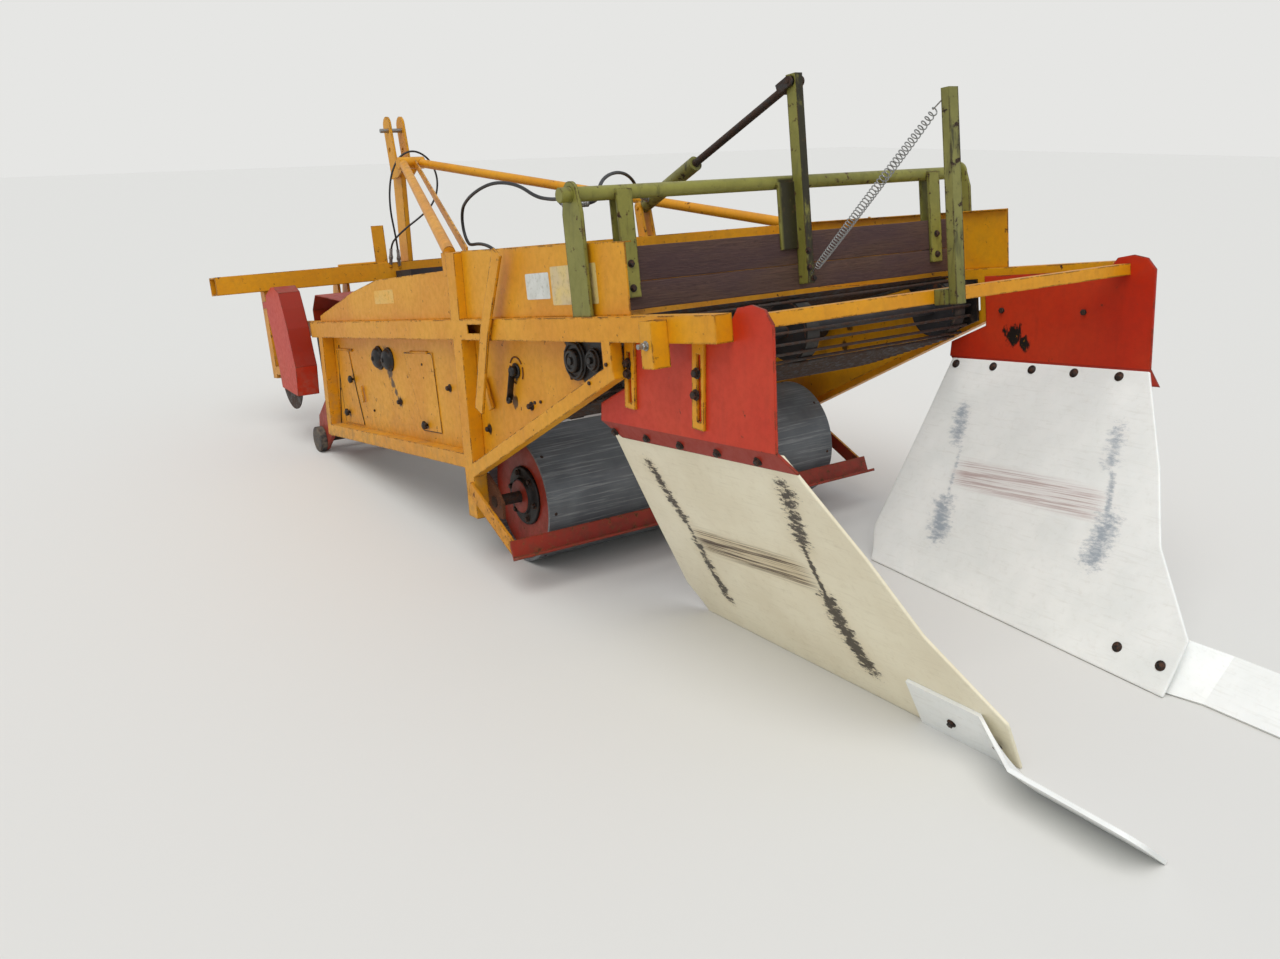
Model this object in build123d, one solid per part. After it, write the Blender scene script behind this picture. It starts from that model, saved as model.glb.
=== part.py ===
from build123d import *
from math import atan2, cos, degrees, hypot, pi, radians, sin, sqrt, tan
import os

# Onion lifter, carried on a three-point hitch: millimetres, +X right, +Y forward, +Z up.
# The machine stands nose down on its rear roller and its front share hubs. What belongs to
# the tilted body is drawn in body coordinates: x, s (forward along the side beams) and h
# (square to them, upwards), from the top of the side beams' rear ends.

# Stance
TILT = 8.46
DATUM_HEIGHT = 1264
BODY = Pos(0, 0, DATUM_HEIGHT) * Rot(-TILT, 0, 0)

# Clearances
SEAT_GAP = 0.3
RUN_GAP = 0.5
FREE_GAP = 6

# Side frames of square and rectangular tube
FRAME_HALF = 925
TUBE_WIDTH = 60
TUBE_WALL = 4
BEAM_LENGTH = 3610
BEAM_DEPTH = 80
POST_DEPTH = 80
POST_AT = 1703
POST_LEAN = 4.5
POST_TOP_H = 262
POST_FOOT_H = -820
RAIL_DEPTH = 60
RAIL_H = -581
UPRIGHT_DEPTH = 60
UPRIGHT_AT = 3452
UPRIGHT_LEAN = 8.4
BRACE_WIDTH = 44
BRACE_DEPTH = 52
BRACE_HEAD = (553, -172)
BRACE_SLOPE = 20.9
STRUT_AT = 579
BEAM_SLOT = (1430, 1600, 34)
BEAM_SLOT_H = -37

# Sheet side walls
LINING_THICK = 5
LINING_TOP_H = -40
LINING_TAIL_TOP = 986
LINING_TAIL_FOOT = (797, -272)
UPPER_THICK = 4
UPPER_HALF = FRAME_HALF - 33
UPPER_LIP = 25
DOOR_THICK = 3
DOOR_LAP = 15

# Transverse tubes
CROSS_TUBE_DEPTH = 60
REAR_BEAM_DEPTH = 50
REAR_BEAM_HEIGHT = 40
REAR_BEAM_AT = -50
REAR_BEAM_TOP_H = -10

# Guide plates and flaps
GUIDE_THICK = 8
KINK_FRONT = (752, -350)
KINK_REAR = (-146, -384)
FLANGE_DROP = 62
FLAP_THICK = 10
FLAP_GROUND_HALF = 400
STRIP_THICK = 12
STRIP_WIDTH = 190
STRIP_ROUNDING = 70

# Rear roller
ROLLER_RADIUS = 273
ROLLER_LENGTH = 2 * FRAME_HALF - 329
ROLLER_Y = 1541
ROLLER_WALL = 12
ROLLER_DISC_RECESS = 40
ROLLER_DISC_THICK = 14
ROLLER_SHAFT_RADIUS = 24
BEARER_THICK = 12
SCRAPER_HALF = FRAME_HALF + 28
SCRAPER_Y = 1235
SCRAPER_Z = 174

# Rod web: belts, rods and the rollers that carry them
WEB_HALF = FRAME_HALF - TUBE_WIDTH - 20
BELT_THICK = 8
BELT_WIDTH = 60
BELT_SPAN = WEB_HALF - 55
BELT_CENTRES = (-BELT_SPAN, 0, BELT_SPAN)
ROD_SIZE = 11
ROD_PITCH = 42
DRUM_RADIUS = 111
DRUM_AT = (750, -147)
NOSE_RADIUS = 46
NOSE_AT = (3500, -555)
SAG_RADIUS = 1880
SAG_AT = (1587, SAG_RADIUS - 414)
WEB_SHAFT_RADIUS = 20
WHEEL_WIDTH = 70
SUPPORT_RADIUS = 55
SUPPORT_STATIONS = (1500, 2350)
RETURN_RADIUS = 36
RETURN_STATION = 2450

# Share shaft
SHARE_AT = (3745, -650)
SHARE_SIZE = 40
SHARE_JOURNAL = 17.5
CARRIER_THICK = 20
CARRIER_HALF = FRAME_HALF - 20
HUB_DEPTH = 36

# Front beam, hitch and gearbox
FRONT_BEAM_HALF = 1210
FRONT_BEAM_DEPTH = 140
FRONT_BEAM_HEIGHT = 105
FRONT_BEAM_WALL = 8
FRONT_BEAM_REAR = 4350
FRONT_BEAM_LOW_H = 190
ARM_HALF = FRAME_HALF - 65
ARM_WIDTH = 60
ARM_REAR = 3000
LINK_HALF = 410
LINK_PIN_RADIUS = 14
LINK_SHOULDER_RADIUS = 16
LINK_PIN_AT = (4560, 120)
LUG_THICK = 15
LUG_GAP = 46
LINK_STUD = 62
MAST_HALF = 49.5
MAST_THICK = 12
MAST_HOLE_RADIUS = 12.7
MAST_PIN_AT = (4322, 1087)
MAST_SPARE_AT = (4335, 974)
STAY_RADIUS = 25
PTO_RADIUS = 17.4
PTO_H = 95
PTO_STUB = 76
PTO_SHAFT_RADIUS = 22
GEARBOX_LENGTH = 250

# Disc coulters and their guards
DISC_RADIUS = 185
DISC_THICK = 6
DISC_AT = (3958, -300)
DISC_AXLE_RADIUS = 15
LEG_OUTER = FRAME_HALF + 10
LEG_WIDTH = 60
LEG_DEPTH = 80
LEG_FOOT_H = -330
GUARD_OUTER = LEG_OUTER + 65
GUARD_INNER = LEG_OUTER - 55
GUARD_SHEET = 4
GUARD_STAY_H = 110

# Tilting board over the web's end
PIPE_RADIUS = 24
PIPE_AT = (720, 388)
PIPE_LEFT = -FRAME_HALF - 30
PIPE_RIGHT = FRAME_HALF + 10
SWING_POST_THICK = 12
SWING_POST_WIDTH = 115
SWING_POST_HALF = FRAME_HALF - 8
BOARD_HALF = FRAME_HALF - 115
HANGER_AT = BOARD_HALF - 80
BOARD_THICK = 38
BOARD_TOP_H = 210
BOARD_LOW_H = 2
LEVER_X = 20
LEVER_WIDTH = 33
LEVER_DEPTH = 50
LEVER_TOP_H = 755
LEVER_PIN_H = 730

# Ram that tilts the board
RAM_EYE_AT = (1700, 387)
RAM_RADIUS = 30
RAM_BORE = 25
RAM_LENGTH = 430
RAM_ROD_RADIUS = 15
RAM_PIN_RADIUS = 10
FORK_PIN_RADIUS = 8
FORK_PIN_GAP = 10.5
PISTON_AT = 335
PISTON_LENGTH = 20
EYE_RADIUS = 24
EYE_WIDTH = 30

# Hoses
HOSE_RADIUS = 6.5
LOOP_RADIUS = 6
FITTING_RADIUS = 10

pieces = {}


def world(x, s, h):
    """World position of a body point"""
    return (BODY * Pos(x, s, h)).position


def side_plate(outline, inner, thick):
    """Plate across X whose (s, h) outline starts at x = inner and grows outwards"""
    return extrude(Plane.YZ.offset(inner) * make_face(Polyline(*outline, close=True)), thick)


def side_bar(start, end, x_mid, width, depth):
    """Rectangular bar between two (s, h) points"""
    (s0, h0), (s1, h1) = start, end
    run = Vector(0, s1 - s0, h1 - h0)
    return extrude(Plane(origin=(x_mid, s0, h0), x_dir=(1, 0, 0), z_dir=run) * Rectangle(width, depth),
                   run.length)


def block(x_range, s_range, h_range):
    """Box between two values on each axis"""
    size = [b - a for a, b in (x_range, s_range, h_range)]
    mid = [(a + b) / 2 for a, b in (x_range, s_range, h_range)]
    return Pos(*mid) * Box(*size)


def round_x(radius, x_range, at, bore=0):
    """Round piece along X centred on a two-coordinate point of the YZ plane"""
    start, end = x_range
    ring = Circle(radius) - Circle(bore) if bore else Circle(radius)
    return extrude(Plane.YZ.offset(start) * Pos(*at) * ring, end - start)


def both(shape):
    """The piece and its mirror image on the other side"""
    return Compound(list(shape.solids()) + list(mirror(shape, about=Plane.YZ).solids()))


def cord(points, radius):
    """Hose along straight runs with the widest bends that fit between them"""
    bends = []
    for before, at, after in zip(points, points[1:], points[2:]):
        a, b = Vector(at) - Vector(before), Vector(after) - Vector(at)
        shorter = min(a.length, b.length)
        bends.append(0.45 * shorter / tan(radians(a.get_angle(b)) / 2))
    route = FilletPolyline(*points, radius=bends)
    print("bends from", round(min(bends)), "to", round(max(bends)), "length", round(route.length))
    start = Plane(origin=points[0], z_dir=Vector(points[1]) - Vector(points[0]))
    return sweep(start * Circle(radius), path=route)


def fitting(points, radius, length):
    """Round coupling that carries on from the end of a hose"""
    end, before = Vector(points[-1]), Vector(points[-2])
    run = (end - before).normalized()
    return extrude(Plane(origin=end + run * SEAT_GAP, z_dir=run) * Circle(radius), length)


def add(name, shape, tilted=True):
    pieces[name] = BODY * shape if tilted else shape


def add_pair(name, shape, tilted=True):
    """Left and right nodes from the right-hand piece"""
    add(name + "_right", shape, tilted)
    add(name + "_left", mirror(shape, about=Plane.YZ), tilted)


# Routes of the hoses: x, s and h of the corners

def from_panel(points):
    """Corners whose x counts inwards from the left upper panel's outer face"""
    return tuple((x - UPPER_HALF, s, h) for x, s, h in points)


FEED_ROUTE = from_panel((
    (42, 1345, 150),
    (44, 1370, 207),
    (50, 1430, 245),
    (62, 1520, 272),
    (82, 1620, 284),
    (104, 1712, 288),
    (127, 1800, 289),
    (147, 1875, 294),
    (152, 1917, 336),
    (150, 1920, 396),
    (142, 1882, 442),
    (122, 1802, 460),
    (97, 1700, 474),
    (87, 1590, 491),
    (85, 1480, 500),
    (84, 1370, 492),
    (84, 1250, 467),
    (84, 1140, 417),
    (80, 1030, 398),
    (57, 930, 392),
    (28, 868, 366),
    (27, 812, 364),
))
RAM_ROUTE = from_panel((
    (48, 792, 360),
    (118, 797, 363),
    (177, 875, 398),
    (282, 1010, 450),
)) + (
    (-500, 1130, 482),
    (-385, 1240, 499),
    (-270, 1350, 495),
    (-165, 1460, 466),
    (-100, 1565, 432),
    (-21, 1609, 417),
)
DROP_ROUTE = from_panel((
    (36, 792, 340),
    (36, 792, 272),
    (37, 840, 216),
    (37, 840, 150),
))
MAST_ROUTE = (
    (-85, 4334, 330),
    (-90, 4318, 395),
    (-112, 4275, 480),
    (-134, 4243, 595),
    (-130, 4230, 715),
    (-102, 4222, 830),
    (-40, 4216, 925),
    (55, 4214, 958),
    (150, 4218, 908),
    (196, 4222, 806),
    (184, 4222, 700),
    (128, 4220, 610),
    (38, 4215, 548),
    (-58, 4214, 492),
    (-122, 4238, 440),
    (-137, 4300, 400),
    (-138, 4322, 340),
)

# Side frames

FRAME_MID = FRAME_HALF - TUBE_WIDTH / 2
FRAME_INNER = FRAME_HALF - TUBE_WIDTH


def post_at(h):
    """Middle of the leaning post at a height"""
    return (POST_AT - h * tan(radians(POST_LEAN)), h)


def upright_at(h):
    return (UPRIGHT_AT - h * tan(radians(UPRIGHT_LEAN)), h)


def brace_at(s):
    return (s, BRACE_HEAD[1] - (s - BRACE_HEAD[0]) * tan(radians(BRACE_SLOPE)))


def frame_members():
    """Start, end, depth and width of each tube of a side frame, along its middle line"""
    beam_mid = -BEAM_DEPTH / 2
    return (
        ((0, beam_mid), (BEAM_LENGTH, beam_mid), BEAM_DEPTH, TUBE_WIDTH),
        (post_at(POST_TOP_H), post_at(POST_FOOT_H), POST_DEPTH, TUBE_WIDTH),
        (post_at(RAIL_H), upright_at(RAIL_H), RAIL_DEPTH, TUBE_WIDTH),
        (upright_at(beam_mid), upright_at(RAIL_H - RAIL_DEPTH / 2), UPRIGHT_DEPTH, TUBE_WIDTH),
        (BRACE_HEAD, brace_at(post_at(RAIL_H)[0]), BRACE_DEPTH, BRACE_WIDTH),
        ((STRUT_AT, beam_mid), brace_at(STRUT_AT), BRACE_DEPTH, BRACE_WIDTH),
    )


def side_frame():
    members = frame_members()
    frame = Part()
    for start, end, depth, width in members:
        frame += side_bar(start, end, FRAME_HALF - width / 2, width, depth)
    bore = TUBE_WIDTH - 2 * TUBE_WALL
    _, end, depth, _ = members[0]
    capped = (TUBE_WALL, -depth / 2)
    frame -= side_bar(capped, end, FRAME_MID, bore, depth - 2 * TUBE_WALL)
    rear, front, height = BEAM_SLOT
    frame -= block((FRAME_MID, FRAME_HALF + 1), (rear, front),
                   (BEAM_SLOT_H - height / 2, BEAM_SLOT_H + height / 2))
    return frame


# Sheet walls

DOORS = (
    # name, outline (s, h) of the sheet from its hinge's rear end
    ("front", ((3212, -149), (3403, -147), (3409, -540), (3124, -540), (3178, -356))),
    ("rear", ((2120, -145), (2450, -148), (2330, -505), (2120, -504))),
)


def inset(outline, lap):
    """Outline drawn in by a lap on every side"""
    return offset(make_face(Polyline(*outline, close=True)), -lap, kind=Kind.INTERSECTION)


def lining():
    foot_h = RAIL_H - RAIL_DEPTH / 2
    outline = ((LINING_TAIL_TOP, LINING_TOP_H), LINING_TAIL_FOOT, brace_at(post_at(RAIL_H)[0]),
               (post_at(foot_h)[0], foot_h), (upright_at(foot_h)[0] + UPRIGHT_DEPTH / 2, foot_h),
               (upright_at(LINING_TOP_H)[0] + UPRIGHT_DEPTH / 2, LINING_TOP_H))
    sheet = side_plate(outline, FRAME_INNER - LINING_THICK, LINING_THICK)
    for _, door in DOORS:
        sheet -= extrude(Plane.YZ.offset(FRAME_INNER - LINING_THICK) * inset(door, DOOR_LAP), LINING_THICK)
    return sheet


UPPER_OUTLINE = ((469, 0), (464, 225), (1657, 265), (1840, 196), (2614, 188), (2963, 141), (3518, 32),
                 (3518, 0))


def upper_panel():
    """Standing sheet with a folded lip along its top edge, in two lengths beside the post"""
    inner = UPPER_HALF - UPPER_THICK
    sheet = side_plate(UPPER_OUTLINE, inner, UPPER_THICK)
    for start, end in zip(UPPER_OUTLINE[1:6], UPPER_OUTLINE[2:7]):
        lip = side_bar((start[0], start[1] - UPPER_THICK / 2), (end[0], end[1] - UPPER_THICK / 2),
                       UPPER_HALF - UPPER_LIP / 2, UPPER_LIP, UPPER_THICK)
        sheet += lip
    return sheet - side_bar(post_at(POST_TOP_H + 10), post_at(-10), FRAME_MID, TUBE_WIDTH, POST_DEPTH)


def left_upper_panel():
    """Mirrored panel with a lug and a coupling on its inner face for each hose that ends there"""
    panel = mirror(upper_panel(), about=Plane.YZ)
    for route in (FEED_ROUTE[::-1], DROP_ROUTE):
        end, before = Vector(route[-1]), Vector(route[-2])
        seat = end + (end - before).normalized() * 55
        panel += fitting(route, FITTING_RADIUS, 60)
        across = (-UPPER_HALF + UPPER_THICK, seat.X + 14)
        panel += block(across, (seat.Y - 20, seat.Y + 20), (seat.Z - 6, seat.Z + 6))
    return panel


def doors():
    for name, outline in DOORS:
        add_pair(f"door_{name}", side_plate(outline, FRAME_INNER + SEAT_GAP, DOOR_THICK))


add_pair("side_frame", side_frame())
add_pair("side_lining", lining())
add("upper_panel_right", upper_panel())
add("upper_panel_left", left_upper_panel())
doors()


# Transverse tube with the ram's bracket

def cross_tube():
    mid_s = post_at(POST_TOP_H - CROSS_TUBE_DEPTH / 2)[0]
    top = POST_TOP_H
    tube = block((-FRAME_INNER, FRAME_INNER), (mid_s - CROSS_TUBE_DEPTH / 2, mid_s + CROSS_TUBE_DEPTH / 2),
                 (top - CROSS_TUBE_DEPTH, top))
    eye_s, eye_h = RAM_EYE_AT
    outline = ((mid_s - 28, top - 2), (mid_s + 28, top - 2),
               (eye_s + EYE_RADIUS, eye_h), (eye_s - EYE_RADIUS, eye_h))
    lug = Plane.YZ * make_face(Polyline(*outline, close=True))
    half = EYE_WIDTH / 2 + RUN_GAP
    for side in (-1, 1):
        start = LEVER_X + side * half
        tube += Pos(start, 0, 0) * extrude(lug, side * SWING_POST_THICK)
        tube += round_x(EYE_RADIUS, (start, start + side * SWING_POST_THICK), RAM_EYE_AT)
    span = half + SWING_POST_THICK + 6
    tube += round_x(RAM_PIN_RADIUS, (LEVER_X - span, LEVER_X + span), RAM_EYE_AT)
    return tube


def rear_beam():
    half = FRAME_INNER - GUIDE_THICK
    return block((-half, half), (REAR_BEAM_AT - REAR_BEAM_DEPTH / 2, REAR_BEAM_AT + REAR_BEAM_DEPTH / 2),
                 (REAR_BEAM_TOP_H - REAR_BEAM_HEIGHT, REAR_BEAM_TOP_H))


add("cross_tube", cross_tube())
add("rear_beam", rear_beam())


# Guide plates, flaps and drag strips

GUIDE_OUTLINE = (KINK_FRONT, (740, -290), (560, -225), (560, -30), (10, -30), (-26, 12), (-87, 19),
                 (-140, 5), (-170, -35), KINK_REAR)


def flap_plane():
    """Plane of the flap's outer face: x along the kink to the rear, y down the slope"""
    front = world(FRAME_INNER, *KINK_FRONT)
    rear = world(FRAME_INNER, *KINK_REAR)
    along = rear - front
    normal = along.cross(Vector(FLAP_GROUND_HALF, 0, 0) - front)
    if normal.X < 0:
        normal = -normal
    return Plane(origin=front, x_dir=along, z_dir=normal)


def on_flap(outline, level, thick):
    """Sheet in the flap's plane, from level inwards by thick"""
    return extrude(flap_plane().offset(-level) * make_face(Polyline(*outline, close=True)), -thick)


FLANGE_OUTLINE = ((0, 0), (78, FLANGE_DROP), (952, FLANGE_DROP), (900, 0))
FLAP_OUTLINE = ((28, 14), (905, 14), (1050, 349), (1139, 614), (1321, 890), (1290, 1120), (-40, 1000),
                (-62, 870), (-95, 780))
STRIP_STATIONS = (
    # y across which the strip is cut, lean from the ground; 0 where it lies on the flap
    (-360, 0),
    (-620, 0),
    (-800, 40),
    (-1175, 40),
)


def above_ground(shape):
    """Sheet trimmed level with the ground"""
    return shape - Pos(0, 0, -1000) * Box(6000, 8000, 2000)


def guide_plate():
    plate = BODY * side_plate(GUIDE_OUTLINE, FRAME_INNER - GUIDE_THICK, GUIDE_THICK)
    return plate + on_flap(FLANGE_OUTLINE, 0, GUIDE_THICK)


def flap():
    return above_ground(on_flap(FLAP_OUTLINE, GUIDE_THICK, FLAP_THICK))


def strip_section(y, lean):
    """Upright cut through the strip, its lower edge on the ground"""
    face = flap_plane().offset(SEAT_GAP - GUIDE_THICK)
    normal = face.z_dir
    foot_x = FLAP_GROUND_HALF
    angle = radians(lean)
    if not lean:
        angle = atan2(normal.X, -normal.Z)
    foot_z = STRIP_THICK * cos(angle)
    if not lean:
        from_origin = Vector(0, y, foot_z) - face.origin
        foot_x = -from_origin.dot(Vector(0, normal.Y, normal.Z)) / normal.X + face.origin.X
    plane = Plane(origin=(foot_x, y, foot_z), x_dir=(cos(angle), 0, sin(angle)), z_dir=(0, -1, 0))
    return plane * Pos(STRIP_WIDTH / 2, -STRIP_THICK / 2) * Rectangle(STRIP_WIDTH, STRIP_THICK)


def strip():
    """Strip that follows the flap and lays itself flatter behind it"""
    sheet = loft([strip_section(*station) for station in STRIP_STATIONS], ruled=True)
    rear_y = STRIP_STATIONS[-1][0]
    across = [edge for edge in sheet.edges()
              if abs(edge.center().Y - rear_y) < 1 and abs(edge.length - STRIP_THICK) < 1]
    return fillet(max(across, key=lambda edge: edge.center().Z), STRIP_ROUNDING)


add_pair("guide_plate", guide_plate(), tilted=False)
add_pair("flap", flap(), tilted=False)
add("drag_strips", both(strip()), tilted=False)


# Brackets on the outside of the beams' rear ends

SLOTTED_BARS = (
    # four corners (s, h) from the rear top on, then both ends of the slot
    ((127, -80), (183, -80), (218, -336), (163, -342), (157, -116), (180, -316)),
    ((492, -80), (548, -80), (578, -294), (522, -300), (528, -116), (546, -279)),
)


def slotted_bars():
    bars = []
    for *outline, slot_top, slot_foot in SLOTTED_BARS:
        plate = side_plate(outline, FRAME_INNER, 10)
        bars.append((plate - side_bar(slot_top, slot_foot, FRAME_INNER + 5, 20, 20)).solid())
    return Compound(bars)


def socket_tube():
    outer = block((FRAME_HALF, FRAME_HALF + 60), (226, 286), (-148, -10))
    return outer - block((FRAME_HALF + 5, FRAME_HALF + 55), (231, 281), (-160, 10))


add("slotted_brackets", both(slotted_bars()))
add("socket_tubes", both(socket_tube()))


# Rear roller on its fixed shaft

ROLLER_AT = (ROLLER_Y, ROLLER_RADIUS)


def roller_mantle():
    half = ROLLER_LENGTH / 2
    return round_x(ROLLER_RADIUS, (-half, half), ROLLER_AT, ROLLER_RADIUS - ROLLER_WALL)


def roller_disc():
    outer = ROLLER_LENGTH / 2 - ROLLER_DISC_RECESS
    disc = round_x(ROLLER_RADIUS - ROLLER_WALL, (outer - ROLLER_DISC_THICK, outer), ROLLER_AT,
                   ROLLER_SHAFT_RADIUS + RUN_GAP)
    return disc + round_x(70, (outer, outer + 30), ROLLER_AT, ROLLER_SHAFT_RADIUS + RUN_GAP)


def roller_bearer():
    """Plate on the inside of the post's foot that holds the roller's shaft"""
    inner = FRAME_INNER - BEARER_THICK
    post_s = post_at(POST_FOOT_H)[0]
    axis = BODY.inverse() * Pos(0, *ROLLER_AT)
    s, h = axis.position.Y, axis.position.Z
    outline = ((post_s + 30, -640), (post_s + 35, POST_FOOT_H), (s - 60, POST_FOOT_H), (s - 70, h),
               (s - 20, h + 65), (post_s - 50, -640))
    plate = side_plate(outline, inner, BEARER_THICK)
    return plate - round_x(ROLLER_SHAFT_RADIUS, (inner, FRAME_INNER), (s, h))


add("roller_mantle", roller_mantle(), tilted=False)
add("roller_discs", both(roller_disc()), tilted=False)
add("roller_shaft", round_x(ROLLER_SHAFT_RADIUS, (-FRAME_INNER - 4, FRAME_INNER + 4), ROLLER_AT),
    tilted=False)
add("roller_bearers", both(roller_bearer()))


def scraper():
    """Angle bar close behind the roller, on two arms from the posts"""
    angle = Box(2 * SCRAPER_HALF, 12, 80) + Pos(0, -22, -34) * Box(2 * SCRAPER_HALF, 56, 12)
    bar = Pos(0, SCRAPER_Y, SCRAPER_Z) * Rot(-25, 0, 0) * angle
    mid = BODY.inverse() * Pos(0, SCRAPER_Y, SCRAPER_Z)
    foot = (mid.position.Y + 20, mid.position.Z)
    arm = BODY * side_bar((post_at(-690)[0] - 12, -690), foot, FRAME_HALF + 6, 12, 60)
    return bar + arm + mirror(arm, about=Plane.YZ)


add("scraper", scraper(), tilted=False)


# Rod web

def web_loop(level):
    """Middle points, radii and turning normals of the web's run at a level above its rollers"""
    wheels = ((DRUM_AT, DRUM_RADIUS + level), (SAG_AT, SAG_RADIUS + level), (NOSE_AT, NOSE_RADIUS + level))
    normals = []
    for (c1, r1), (c2, r2) in zip(wheels, wheels[1:] + wheels[:1]):
        ds, dh = c2[0] - c1[0], c2[1] - c1[1]
        span = hypot(ds, dh)
        lean = (r1 - r2) / span
        ds, dh = ds / span, dh / span
        across = sqrt(1 - lean * lean)
        normals.append((ds * lean + dh * across, dh * lean - ds * across))
    runs = []
    for i, (centre, radius) in enumerate(wheels):
        start, end = normals[i - 1], normals[i]
        begin = atan2(start[1], start[0])
        turn = (atan2(end[1], end[0]) - begin) % (2 * pi)
        runs.append((centre, radius, begin, turn))
    return runs


def on_circle(centre, radius, angle):
    return (centre[0] + radius * cos(angle), centre[1] + radius * sin(angle))


def web_face(level):
    """Region inside the web's run at a level"""
    runs = web_loop(level)
    edges = []
    for (centre, radius, begin, turn), after in zip(runs, runs[1:] + runs[:1]):
        start, middle, end = (on_circle(centre, radius, begin + turn * part) for part in (0, 0.5, 1))
        edges.append(ThreePointArc(start, middle, end))
        edges.append(Line(end, on_circle(*after[:3])))
    return make_face(edges)


def web_belts():
    ring = web_face(BELT_THICK) - web_face(0)
    return Compound([extrude(Plane.YZ.offset(x - BELT_WIDTH / 2) * ring, BELT_WIDTH).solid()
                     for x in BELT_CENTRES])


def web_stations(level, pitch):
    """Evenly spaced places along the run: position and direction in degrees"""
    runs = web_loop(level)
    stretches = []
    for run, after in zip(runs, runs[1:] + runs[:1]):
        centre, radius, begin, turn = run
        end = on_circle(centre, radius, begin + turn)
        start = on_circle(*after[:3])
        stretches.append(("arc", radius * turn, run))
        stretches.append(("line", hypot(start[0] - end[0], start[1] - end[1]), (end, start)))
    total = sum(stretch[1] for stretch in stretches)
    count = round(total / pitch)
    places = []
    for i in range(count):
        distance = total * i / count
        for kind, length, data in stretches:
            if distance < length:
                break
            distance -= length
        if kind == "arc":
            centre, radius, begin, turn = data
            angle = begin + distance / radius
            places.append((on_circle(centre, radius, angle), degrees(angle) + 90))
        else:
            (s0, h0), (s1, h1) = data
            share = distance / length
            place = (s0 + (s1 - s0) * share, h0 + (h1 - h0) * share)
            places.append((place, degrees(atan2(h1 - h0, s1 - s0))))
    return places


def web_rods():
    """Six-sided rods riveted flat on the belts' outer face"""
    rod = extrude(Plane.YZ.offset(-WEB_HALF) * RegularPolygon(ROD_SIZE / 2, 6, major_radius=False),
                  2 * WEB_HALF)
    return Compound([(Pos(0, *place) * Rot(direction, 0, 0) * rod).solid()
                     for place, direction in web_stations(BELT_THICK + ROD_SIZE / 2, ROD_PITCH)])


def wheel_set(at, radius, half):
    """Shaft with one wheel under each belt"""
    shaft = round_x(WEB_SHAFT_RADIUS, (-half, half), at)
    for x in BELT_CENTRES:
        shaft += round_x(radius, (x - WHEEL_WIDTH / 2, x + WHEEL_WIDTH / 2), at)
    return shaft


def run_middle(top):
    """A point of the straight carrying or return run, and its unit direction towards the front"""
    drum, sag, nose = web_loop(0)
    if top:
        rear, front = on_circle(*drum[:3]), on_circle(nose[0], nose[1], nose[2] + nose[3])
    else:
        rear, front = on_circle(sag[0], sag[1], sag[2] + sag[3]), on_circle(*nose[:3])
    span = hypot(front[0] - rear[0], front[1] - rear[1])
    return rear, ((front[0] - rear[0]) / span, (front[1] - rear[1]) / span)


def beside_run(top, station, distance):
    """Centre at a distance below the inner face of a run"""
    (s0, h0), (ds, dh) = run_middle(top)
    h = h0 + (station - s0) * dh / ds
    return (station + distance * dh, h - distance * ds)


def web_rollers():
    half = FRAME_INNER - LINING_THICK
    rollers = [wheel_set(NOSE_AT, NOSE_RADIUS - SEAT_GAP, half)]
    for station in SUPPORT_STATIONS:
        rollers.append(wheel_set(beside_run(True, station, SUPPORT_RADIUS + SEAT_GAP), SUPPORT_RADIUS, half))
    below = BELT_THICK + ROD_SIZE + RETURN_RADIUS + SEAT_GAP
    rollers.append(wheel_set(beside_run(False, RETURN_STATION, below), RETURN_RADIUS, half))
    return Compound([roller.solid() for roller in rollers])


BEARER_HALF = FRAME_INNER - BEARER_THICK


def drum_bearer():
    """Plate under the beam that carries the drive drum, with its bearing covers"""
    outline = ((600, LINING_TOP_H), (LINING_TAIL_TOP - 3, LINING_TOP_H),
               (LINING_TAIL_FOOT[0] - 3, LINING_TAIL_FOOT[1]), (600, -205))
    plate = side_plate(outline, BEARER_HALF, BEARER_THICK)
    plate += round_x(70, (FRAME_INNER, FRAME_INNER + 34), (870, -150))
    return plate + round_x(40, (FRAME_INNER, FRAME_INNER + 30), DRUM_AT)


add("web_belts", web_belts())
add("web_rods", web_rods())
add("drive_drum", wheel_set(DRUM_AT, DRUM_RADIUS - SEAT_GAP, BEARER_HALF))
add("web_rollers", web_rollers())
add("drum_bearers", both(drum_bearer()))


# Bearing covers and levers on the side walls

COVERS = (
    # s, h, radius, depth
    (2781, -181, 62, 40),
    (2651, -186, 62, 40),
    (1250, -200, 55, 30),
)


def bearing_covers():
    covers = []
    for s, h, radius, depth in COVERS:
        cover = round_x(radius, (FRAME_INNER, FRAME_INNER + depth), (s, h))
        covers += [cover.solid(), mirror(cover, about=Plane.YZ).solid()]
    return Compound(covers)


def shaker_lever():
    path = ((1233, 240), (1408, -40), (1545, -355))
    lever = side_bar(path[0], path[1], FRAME_HALF + 15, 10, 60)
    lever += side_bar(path[1], path[2], FRAME_HALF + 15, 10, 60)
    lever += round_x(30, (FRAME_HALF + 10, FRAME_HALF + 20), path[1])
    return lever + round_x(25, (FRAME_HALF, FRAME_HALF + 10), path[1])


add("bearing_covers", bearing_covers())
add("shaker_levers", both(shaker_lever()))


# Share shaft at the front

def share_axis_height():
    return world(0, *SHARE_AT).Z


def share_shaft():
    inner = CARRIER_HALF - CARRIER_THICK
    bar = block((-inner + FREE_GAP, inner - FREE_GAP),
                (SHARE_AT[0] - SHARE_SIZE / 2, SHARE_AT[0] + SHARE_SIZE / 2),
                (SHARE_AT[1] - SHARE_SIZE / 2, SHARE_AT[1] + SHARE_SIZE / 2))
    return bar + round_x(SHARE_JOURNAL, (-CARRIER_HALF + 1, CARRIER_HALF - 1), SHARE_AT)


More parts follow.
